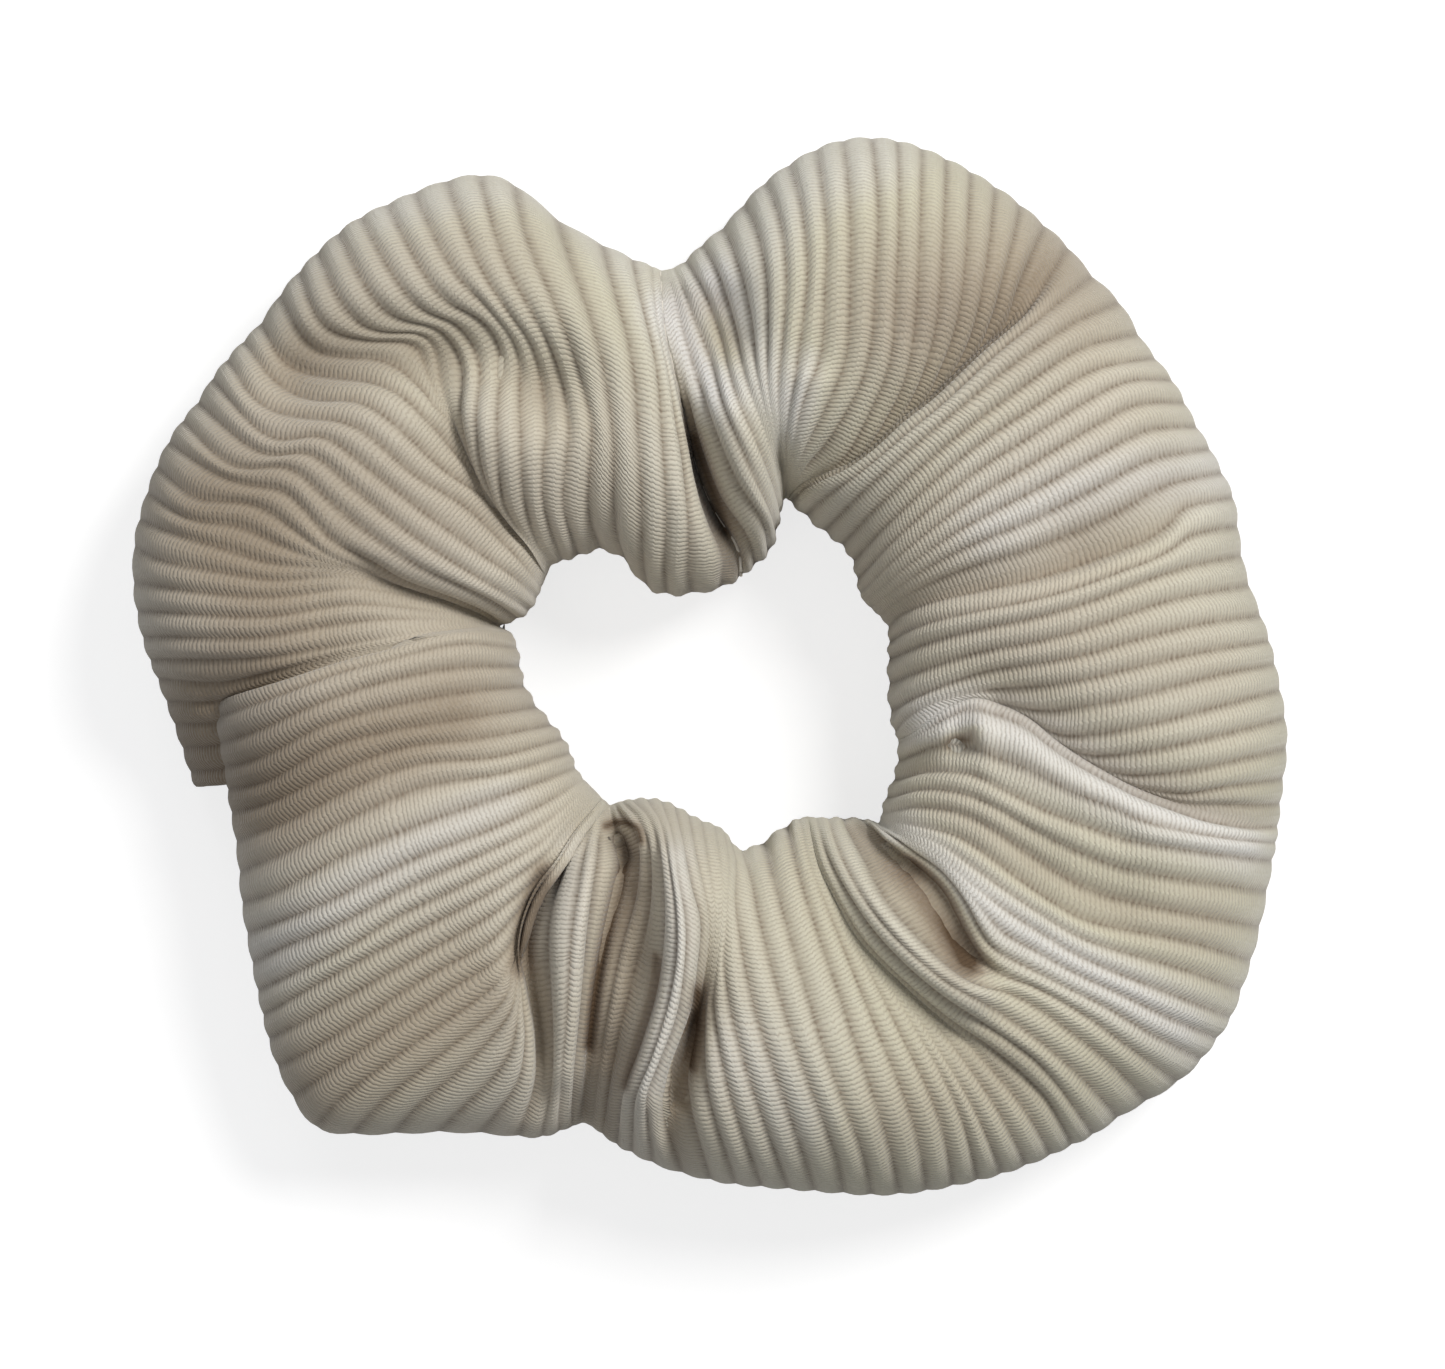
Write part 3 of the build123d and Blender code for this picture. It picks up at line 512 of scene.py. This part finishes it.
def top_of_cover(columns):
    """The tube's top: points by column and row from the hole to the rim."""
    across, rise = round_shares(np.linspace(0, np.pi, TOP_ROWS), TOP_ROUND)
    flat, sunk = seen_from_above(columns, across)
    height = SIDE_HEIGHT + (crown_heights(flat)[:, None] - SIDE_HEIGHT) * rise
    height -= sunk[:, None] * smooth_step((across - TUCK_FROM) / TUCK_LENGTH)
    edge_share = 0.25 + 0.75 * smooth_step(rise * 1.6)
    height += (folds_at(flat, columns) + swells_at(flat, SWELLS)) * edge_share
    height = blurred(height, 2)

    radius = np.linalg.norm(flat, axis=-1)
    over_works = smooth_step((radius - WORKS_INNER) / 2.0) * (1 - smooth_step((radius - WORKS_OUTER) / 3.0))
    lowest = LOW_HEIGHT + (CLEAR_HEIGHT - LOW_HEIGHT) * over_works
    height = lowest + np.logaddexp(0, (height - lowest) * 1.6) / 1.6
    return np.concatenate([flat, height[..., None]], -1)


def foot_of_cover(top, columns):
    """The tube's underside, from the rim back to the hole, flat where it rests and pleated beside."""
    across, drop = round_shares(np.linspace(0, np.pi, FOOT_ROWS + 2)[1:-1], FOOT_ROUND)
    outer, inner = top[:, -1], top[:, 0]
    foot = outer[:, None] + (inner - outer)[:, None] * across[:, None]
    foot[..., 2] = REST_GAP + (foot[..., 2] - REST_GAP) * (1 - drop)
    radius = np.linalg.norm(foot[..., :2], axis=-1)
    free = 1 - smooth_step((radius - 20.0) / 1.8) + 0.5 * smooth_step((radius - 34.5) / 4.0)
    pleats = 0.5 - 0.5 * np.cos(2 * np.pi * columns / PLEAT_RIBS)
    foot[..., 2] += PLEAT_DEPTH * pleats[:, None] * free * drop
    return foot


def outward(points):
    """Unit normals of a closed grid of points."""
    along = np.roll(points, -2, 0) - np.roll(points, 2, 0)
    round_tube = np.roll(points, -1, 1) - np.roll(points, 1, 1)
    normal = np.cross(round_tube, along)
    length = np.linalg.norm(normal, axis=-1, keepdims=True)
    normal = blurred(normal / np.maximum(length, 1e-6), 1)
    return normal / np.maximum(np.linalg.norm(normal, axis=-1, keepdims=True), 1e-6)


def grid_faces(columns, rows, first=0, inward=False):
    """Faces of a grid that is closed both ways."""
    c, r = np.meshgrid(np.arange(columns), np.arange(rows), indexing="ij")
    c2, r2 = (c + 1) % columns, (r + 1) % rows
    corners = [c * rows + r, c * rows + r2, c2 * rows + r2, c2 * rows + r]
    if inward:
        corners.reverse()
    return first + np.stack(corners, -1).reshape(-1, 4)


def mesh_object(name, points, faces, material):
    """An object from points in metres and lists of corners."""
    mesh = bpy.data.meshes.new(name)
    mesh.from_pydata(points.tolist(), [], faces)
    mesh.materials.append(material)
    mesh.polygons.foreach_set("use_smooth", np.ones(len(mesh.polygons), bool))
    mesh.update()
    obj = bpy.data.objects.new(name, mesh)
    bpy.context.collection.objects.link(obj)
    return obj


def rib_spread(shape):
    """0 where the ribs are pressed together, 1 where they lie apart."""
    pitch = np.linalg.norm(np.roll(shape, -5, 0) - np.roll(shape, 5, 0), axis=-1) / 2
    return smooth_step((pitch - FLAT_PITCH) / (FULL_PITCH - FLAT_PITCH))


def ribbed(shape, normal, columns, spread):
    """The shape with its ribs, which grow flat towards the rim and on the underside."""
    cord = 1 - np.abs(2 * (columns % 1) - 1) ** CORD_SQUARENESS
    size = CORD_HEIGHT * spread
    size[:, :TOP_ROWS] *= 1 - 0.6 * smooth_step((np.linspace(0, 1, TOP_ROWS) - 0.75) / 0.2)
    size[:, TOP_ROWS:] *= 0.4
    outside = shape + normal * ((cord[:, None] - 0.75) * size)[..., None]
    outside[..., 2] = np.maximum(outside[..., 2], 0.02)
    return outside


def shade_and_tone_patches(points):
    """How pale or dark each point is, from painted highlight and painted shade and from the cloth's pale and
    darker patches, without the small dark creases on the underside.
    """
    shade_and_tone = swells_at(points[..., :2], LIGHT_AND_TONE_PATCHES)
    near_edge = np.abs(np.linspace(-1, 1, FOOT_ROWS)) ** 3
    shade_and_tone[:, TOP_ROWS:] = np.clip(shade_and_tone[:, TOP_ROWS:], -0.6, 0.6) * near_edge
    return shade_and_tone


def add_knit_map(cover, faces, columns, courses, rows, rib_count):
    """Map of the knit: rib number across, row of stitches along, for the outside and the inside."""
    steps = len(CORD_STEPS)
    rib = np.broadcast_to(columns[:, None], courses.shape)
    outside = np.stack([rib, blurred(courses, 4)], -1).reshape(-1, 2)
    inside = np.stack([rib, courses], -1)[2::steps][:, rows].reshape(-1, 2)
    place = np.vstack([outside, inside])[faces]
    over_start = np.ptp(place[..., 0], axis=1)[:, None] > rib_count / 2
    place[..., 0] += np.where(over_start & (place[..., 0] < rib_count / 2), rib_count, 0)
    cover.data.uv_layers.new(name="Knit").data.foreach_set("uv", place.reshape(-1))


def make_cover(material, shape, normal, columns, rib_count):
    """The knit tube: an outside with ribs and a coarser, plain inside."""
    spread = rib_spread(shape)
    outside = ribbed(shape, normal, columns, spread)
    steps = len(CORD_STEPS)
    rows = np.r_[np.arange(0, TOP_ROWS, 3), np.arange(TOP_ROWS, TOP_ROWS + FOOT_ROWS, 2)]
    inside = (shape - blurred(normal, 6) * WALL)[2::steps][:, rows]
    inside[..., 2] = np.maximum(inside[..., 2], 2 * REST_GAP)

    count, row_count = outside.shape[:2]
    inner_faces = grid_faces(len(inside), len(rows), first=count * row_count, inward=True)
    faces = np.vstack([grid_faces(count, row_count), inner_faces])
    points = np.vstack([outside.reshape(-1, 3), inside.reshape(-1, 3)]) * MM
    cover = mesh_object("knit_cover", points, faces.tolist(), material)

    next_point = np.diff(shape, axis=1, append=shape[:, :1])
    length = np.cumsum(np.linalg.norm(next_point, axis=-1), axis=1)
    length -= length[:, TOP_ROWS // 2 : TOP_ROWS // 2 + 1]
    add_knit_map(cover, faces, columns, length / COURSE, rows, rib_count)

    # folded: how far each point lies below its broad surroundings (above 0) or above them (below 0); it sets
    # the painted crease shade and the painted ridge highlight
    surroundings = blurred(shape[..., 2], 14)
    folded = np.clip((surroundings - shape[..., 2]) / FOLD_DEPTH, -1, 1)
    for name, values in (("shade_and_tone", shade_and_tone_patches(outside)), ("spread", spread), ("folded", folded)):
        whole = np.r_[values.ravel(), values[2::steps][:, rows].ravel()]
        cover.data.attributes.new(name, "FLOAT", "POINT").data.foreach_set("value", whole)
    return cover


def tube_along(points, first):
    """Points and faces of a round thread along the points, closed by a point at each end."""
    heading = np.gradient(points, axis=0)
    heading /= np.linalg.norm(heading, axis=1)[:, None]
    across = np.cross(heading, (0.31, 0.27, 0.91))
    across /= np.linalg.norm(across, axis=1)[:, None]
    up = np.cross(heading, across)
    turn = 2 * np.pi * np.arange(THREAD_SIDES) / THREAD_SIDES
    ring = across[:, None] * np.cos(turn)[:, None] + up[:, None] * np.sin(turn)[:, None]
    rings = points[:, None] + THREAD_RADIUS * ring
    tip = THREAD_RADIUS / 2
    ends = np.array([points[0] - heading[0] * tip, points[-1] + heading[-1] * tip])

    step, side = np.meshgrid(np.arange(len(points) - 1), np.arange(THREAD_SIDES), indexing="ij")
    here = step * THREAD_SIDES + side
    beside = step * THREAD_SIDES + (side + 1) % THREAD_SIDES
    corners = [here, beside, beside + THREAD_SIDES, here + THREAD_SIDES]
    faces = (first + np.stack(corners, -1).reshape(-1, 4)).tolist()
    last = first + (len(points) - 1) * THREAD_SIDES
    start_tip = first + len(points) * THREAD_SIDES
    for k in range(THREAD_SIDES):
        beside = (k + 1) % THREAD_SIDES
        faces.append([first + beside, first + k, start_tip])
        faces.append([last + k, last + beside, start_tip + 1])
    return np.vstack([rings.reshape(-1, 3), ends]), faces


def make_closing_seam(name, material, shape, normal, columns, depth, sink):
    """Stitches round the tube where its ends meet, in the crease beside the panel's edge."""
    seam_rib = rib_positions()[1]["top_slit"] + 1
    column = int(np.argmin(np.abs(columns - seam_rib)))
    loop = np.vstack([shape[column], shape[column][:1]])
    facing = np.vstack([normal[column], normal[column][:1]])
    lengths = steps_along(loop)
    count = int(lengths[-1] / STITCH_PITCH)
    pitch = lengths[-1] / count
    shares = np.array([0, 0, 0.1, 0.3, 0.5, 0.6, 0.7, 0.7]) * STITCH_FILL / 0.7
    deep = depth + sink * np.array([1, 0.3, 0, 0, 0, 0, 0.3, 1])
    points, faces, total = [], [], 0
    for number in range(count):
        along = (number + shares) * pitch
        spots = at_lengths(loop, lengths, along) - at_lengths(facing, lengths, along) * deep[:, None]
        spots[:, 2] = np.maximum(spots[:, 2], THREAD_RADIUS)
        more, more_faces = tube_along(spots, total)
        points.append(more)
        faces += more_faces
        total += len(more)
    return mesh_object(name, np.vstack(points) * MM, faces, material)


# ---- Materials ----
WARM_CREAM = (0.61, 0.55, 0.44, 1)
GREY_CREAM = (0.655, 0.61, 0.515, 1)
GREEN_CREAM = (0.62, 0.585, 0.44, 1)
# Paler cloth where the tone patches lie above 0: partly painted highlight, partly pale patches of the cloth
PALE_PATCH_AND_HIGHLIGHT = (0.80, 0.785, 0.76, 1)
# Darker brown where the tone patches lie below 0: partly painted shade, partly darker patches of the cloth
DARK_PATCH_AND_SHADE = (0.385, 0.312, 0.225, 1)
# Painted highlight on ridges that stand above their surroundings
RIDGE_HIGHLIGHT = (0.80, 0.775, 0.71, 1)
# Painted shade in creases that lie below their surroundings
CREASE_SHADE = (0.20, 0.14, 0.085, 1)
# Painted deep shade in pockets and deep creases
DEEP_SHADE = (0.085, 0.05, 0.026, 1)
FIBRE_PALE = (0.78, 0.75, 0.69, 1)
# Painted shade in the grooves between rows of stitches
STITCH_GAP_SHADE = (0.38, 0.31, 0.235, 1)
# Painted shade on both sides of each rib valley
VALLEY_SIDE_SHADE = (0.36, 0.29, 0.21, 1)
# Painted shade along each rib valley, as a dotted dark line
VALLEY_DOT_SHADE = (0.20, 0.15, 0.105, 1)
SPECK = (0.06, 0.045, 0.03, 1)
WALES = 3.0  # columns of stitches on a rib
SHEEN = 0.4


class Nodes:
    """Short way to write a material's shader."""

    def __init__(self, name):
        self.material = bpy.data.materials.new(name)
        self.material.use_nodes = True
        self.tree = self.material.node_tree
        self.shader = self.tree.nodes["Principled BSDF"]
        self.spot = self.tree.nodes.new("ShaderNodeNewGeometry").outputs["Position"]

    def add(self, kind, **inputs):
        node = self.tree.nodes.new(kind)
        for key, value in inputs.items():
            self.put(node.inputs[key.replace("_", " ")], value)
        return node

    def put(self, socket, value):
        if isinstance(value, bpy.types.NodeSocket):
            self.tree.links.new(value, socket)
        else:
            socket.default_value = value

    def shade(self, **inputs):
        for key, value in inputs.items():
            self.put(self.shader.inputs[key.replace("_", " ")], value)

    def math(self, operation, *values):
        node = self.tree.nodes.new("ShaderNodeMath")
        node.operation = operation
        for socket, value in zip(node.inputs, values):
            self.put(socket, value)
        return node.outputs[0]

    def plus(self, first, *others):
        for other in others:
            first = self.math("ADD", first, other)
        return first

    def times(self, first, *others):
        for other in others:
            first = self.math("MULTIPLY", first, other)
        return first

    def less(self, value, taken):
        return self.math("SUBTRACT", value, taken)

    def attribute(self, name):
        node = self.tree.nodes.new("ShaderNodeAttribute")
        node.attribute_name = name
        return node.outputs["Fac"]

    def mix(self, share, a, b):
        node = self.tree.nodes.new("ShaderNodeMix")
        node.data_type = "RGBA"
        self.put(node.inputs[0], share)
        self.put(node.inputs[6], a)
        self.put(node.inputs[7], b)
        return node.outputs[2]

    def noise(self, scale, detail=2.0, roughness=0.5):
        node = self.add("ShaderNodeTexNoise", Vector=self.spot, Scale=scale, Detail=detail)
        node.inputs["Roughness"].default_value = roughness
        return node.outputs["Fac"]

    def ramp(self, value, low, high):
        node = self.add("ShaderNodeMapRange", Value=value)
        node.inputs["From Min"].default_value = low
        node.inputs["From Max"].default_value = high
        return node.outputs[0]


def knit_stitches(n, rib, course):
    """Height of the yarn: leaning rows of stitches, lower between a rib's columns of stitches."""
    wobble = n.times(n.less(n.noise(1100.0, 3.0), 0.5), 0.5)
    from_crown = n.less(n.math("FRACT", rib), 0.5)
    lean = n.times(n.less(n.noise(45.0, 1.0), 0.45), 4.0)
    arc = n.times(from_crown, from_crown, 1.6)
    wale = n.math("ABSOLUTE", n.less(n.math("FRACT", n.times(rib, WALES)), 0.5))
    slanted = n.plus(course, wobble, n.times(from_crown, lean), arc, n.times(wale, 0.35))
    stitch = n.math("POWER", n.math("ABSOLUTE", n.math("SINE", n.times(slanted, math.pi))), 0.7)
    leg = n.math("POWER", n.less(1.0, n.times(wale, 1.6)), 0.5)
    return n.times(stitch, n.plus(n.times(leg, 0.25), 0.75))


def valley_shade(n, rib, course, spread):
    """Painted shade: a dotted dark line in the valley beside a rib, and softer painted shade on both sides of
    it.
    """
    across = n.math("ABSOLUTE", n.less(n.math("FRACT", n.plus(rib, 0.5)), 0.5))
    valley = n.less(1.0, n.ramp(across, 0.0, 0.11))
    dots = n.math("POWER", n.math("ABSOLUTE", n.math("SINE", n.times(course, math.pi * 0.8))), 1.5)
    dots = n.times(dots, n.ramp(n.noise(900.0, 2.0), 0.25, 0.6))
    hole = n.times(valley, n.plus(n.times(dots, 0.65), 0.35), spread)
    return hole, n.times(n.less(1.0, n.ramp(across, 0.0, 0.32)), spread)


def cloth_tint(n, shade_and_tone, folded):
    """Cream cloth with pale and darker brownish patches that are partly the cloth's own colour and partly
    painted highlight and painted shade, with a painted highlight on its ridges and painted shade in its
    folds.
    """
    tint = n.mix(n.ramp(n.noise(38.0, 2.0), 0.38, 0.64), WARM_CREAM, GREY_CREAM)
    tint = n.mix(n.ramp(n.noise(23.0, 1.0), 0.40, 0.66), tint, GREEN_CREAM)
    # Tone patches: partly painted highlight and painted shade, partly the cloth's own pale and darker patches
    tint = n.mix(n.ramp(shade_and_tone, 0.0, 1.0), tint, PALE_PATCH_AND_HIGHLIGHT)
    tint = n.mix(n.ramp(shade_and_tone, 0.0, -1.1), tint, DARK_PATCH_AND_SHADE)
    # Painted highlight on the ridges that stand above their surroundings
    tint = n.mix(n.times(n.ramp(folded, 0.0, -1.0), 0.3), tint, RIDGE_HIGHLIGHT)
    # Painted shade in the creases that lie below their surroundings
    return n.mix(n.times(n.ramp(folded, 0.05, 1.0), 0.72), tint, CREASE_SHADE)


def specks(n):
    """Few small dark specks, one in about a tenth of the cells."""
    cell = n.add("ShaderNodeTexVoronoi", Vector=n.spot, Scale=115.0)
    chance = n.add("ShaderNodeSeparateColor", Color=cell.outputs["Color"]).outputs[0]
    small = n.math("LESS_THAN", cell.outputs["Distance"], 0.026)
    return n.times(small, n.math("GREATER_THAN", chance, 0.9))


def knit_material():
    n = Nodes("rib_knit")
    uv = n.tree.nodes.new("ShaderNodeUVMap")
    uv.uv_map = "Knit"
    split = n.add("ShaderNodeSeparateXYZ", Vector=uv.outputs[0])
    rib, course = split.outputs[0], split.outputs[1]
    shade_and_tone = n.attribute("shade_and_tone")

    yarn = knit_stitches(n, rib, course)
    hole, beside = valley_shade(n, rib, course, n.attribute("spread"))
    fibre = n.noise(2600.0, 4.0, 0.65)
    fleck = n.ramp(n.noise(4200.0, 2.0), 0.38, 0.62)
    # Where the tone patches lie far below 0, in pockets and deep creases: mask for the painted deep shade
    deep = n.ramp(shade_and_tone, -0.9, -2.5)

    tint = cloth_tint(n, shade_and_tone, n.attribute("folded"))
    tint = n.mix(n.times(n.ramp(fibre, 0.35, 0.75), 0.16), tint, FIBRE_PALE)
    # Painted shade in the grooves between the rows of stitches, flecked
    tint = n.mix(n.times(n.less(1.0, yarn), n.plus(fleck, 0.3), 0.46), tint, STITCH_GAP_SHADE)
    # Painted shade on both sides of each rib valley
    tint = n.mix(n.times(beside, 0.28), tint, VALLEY_SIDE_SHADE)
    # Painted shade along each rib valley, as a dotted dark line
    tint = n.mix(n.times(hole, 0.85), tint, VALLEY_DOT_SHADE)
    # Painted deep shade in pockets and deep creases
    tint = n.mix(n.times(deep, 0.9), tint, DEEP_SHADE)
    tint = n.mix(n.times(specks(n), 0.8), tint, SPECK)
    # Less sheen where the painted deep shade lies
    sheen = n.less(SHEEN, n.times(deep, SHEEN))
    n.shade(Base_Color=tint, Roughness=0.92, Specular_IOR_Level=0.18, Sheen_Weight=sheen, Sheen_Roughness=0.5)
    high = n.plus(yarn, n.times(fibre, 0.5))
    bump = n.add("ShaderNodeBump", Height=high, Strength=0.5, Distance=0.0002)
    n.shade(Normal=bump.outputs[0])
    return n.material


def yarn_material(name, color, twist):
    n = Nodes(name)
    fibre = n.noise(twist, 3.0)
    dark = tuple(0.82 * c for c in color)
    tint = n.mix(n.ramp(fibre, 0.3, 0.7), dark + (1,), color + (1,))
    n.shade(Base_Color=tint, Roughness=0.8, Sheen_Weight=0.2)
    bump = n.add("ShaderNodeBump", Height=fibre, Strength=0.4, Distance=0.0001)
    n.shade(Normal=bump.outputs[0])
    return n.material


def floor_material():
    """Grey to the lamps, so that it keeps the shadow, and white to the eye."""
    n = Nodes("pale_floor")
    tint = n.mix(n.noise(300.0, 3.0), (0.43, 0.43, 0.43, 1), (0.45, 0.45, 0.45, 1))
    n.shade(Base_Color=tint, Roughness=0.9, Specular_IOR_Level=0.1)
    path = n.tree.nodes.new("ShaderNodeLightPath").outputs
    seen = n.math("MAXIMUM", path["Is Camera Ray"], path["Is Glossy Ray"])
    seen = n.math("MAXIMUM", seen, path["Is Transmission Ray"])
    n.shade(Emission_Color=(1.0, 1.0, 1.0, 1.0), Emission_Strength=n.times(seen, 0.74))
    return n.material


# ---- Setting, in metres ----
FLOOR_HALF = 2.0
CAMERA_HEIGHT = 0.7
SEEN_WIDTH = 0.1363  # that the picture is wide, at the height of the scrunchie's middle
MIDDLE_HEIGHT = 0.012
SENSOR = 36


def make_floor():
    half = FLOOR_HALF
    corners = np.array([(-half, -half, 0), (half, -half, 0), (half, half, 0), (-half, half, 0)])
    floor = mesh_object("floor", corners, [(0, 1, 2, 3)], floor_material())


def make_lamp(name, place, size, power, color):
    """A round lamp that faces the middle of the scrunchie."""
    lamp = bpy.data.lights.new(name, "AREA")
    lamp.shape = "DISK"
    lamp.size = size
    lamp.energy = power
    lamp.color = color
    obj = bpy.data.objects.new(name, lamp)
    obj.location = place
    obj.rotation_mode = "QUATERNION"
    obj.rotation_quaternion = (-Vector(place)).to_track_quat("-Z", "Y")
    bpy.context.collection.objects.link(obj)


def make_world(strength):
    """White to the eye, and a weaker, bluish light on the object."""
    world = bpy.data.worlds.new("studio")
    world.use_nodes = True
    tree = world.node_tree
    shown = tree.nodes["Background"]
    shown.inputs[0].default_value = (1, 1, 1, 1)
    shown.inputs[1].default_value = 1.0
    light = tree.nodes.new("ShaderNodeBackground")
    light.inputs[0].default_value = (0.93, 0.97, 1.0, 1)
    light.inputs[1].default_value = strength
    path = tree.nodes.new("ShaderNodeLightPath")
    mix = tree.nodes.new("ShaderNodeMixShader")
    tree.links.new(path.outputs["Is Camera Ray"], mix.inputs[0])
    tree.links.new(light.outputs[0], mix.inputs[1])
    tree.links.new(shown.outputs[0], mix.inputs[2])
    tree.links.new(mix.outputs[0], tree.nodes["World Output"].inputs[0])
    bpy.context.scene.world = world


def make_camera():
    cam = bpy.data.cameras.new("camera")
    cam.lens = SENSOR * (CAMERA_HEIGHT - MIDDLE_HEIGHT) / SEEN_WIDTH
    cam.sensor_width = SENSOR
    cam.clip_start = 0.01
    obj = bpy.data.objects.new("camera", cam)
    obj.location = (0.00113, -0.00198, CAMERA_HEIGHT)
    bpy.context.collection.objects.link(obj)
    bpy.context.scene.camera = obj


# ---- Pieces ----
knit = knit_material()
thread = yarn_material("sewing_thread", (0.82, 0.77, 0.68), 6000.0)
braid = yarn_material("braid", (0.86, 0.85, 0.82), 3000.0)
rubber = yarn_material("rubber", (0.78, 0.72, 0.58), 1500.0)

rib_count = rib_positions()[2]
columns = (np.arange(rib_count)[:, None] + np.array(CORD_STEPS)).ravel()
top = top_of_cover(columns)
shape = np.concatenate([top, foot_of_cover(top, columns)], 1)
normal = outward(shape)

cover = make_cover(knit, shape, normal, columns, rib_count)
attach(cover, "casing")
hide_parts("cover")

# The two threads of the closing seam: how deep each lies, and how far its stitches' ends sink
for name, node, depth, sink in (
    ("closing_seam_needle", "closing_seam_needle_thread", 0.1, 0.5),
    ("closing_seam_bobbin", "closing_seam_bobbin_thread", WALL + 0.1, -0.5),
):
    seam = make_closing_seam(name, thread, shape, normal, columns, depth, sink)
    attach(seam, "casing")
    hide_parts(node)

for name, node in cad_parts.items():
    if name == "cover" or name.startswith("closing_seam"):
        continue
    kind = braid if name == "elastic_braid" else rubber if "rubber" in name else thread
    node.data.materials.clear()
    node.data.materials.append(kind)

make_floor()
make_lamp("key", (0.48, 0.45, 0.78), 0.4, 8.3, (1.0, 0.99, 0.97))
make_lamp("top", (-0.3, 0.85, 0.5), 0.5, 1.6, (0.97, 0.98, 1.0))
make_lamp("fill", (-0.3, -0.6, 0.8), 0.9, 1.4, (0.98, 0.97, 1.0))
make_world(0.19)
make_camera()
bpy.context.scene.view_settings.view_transform = "Standard"
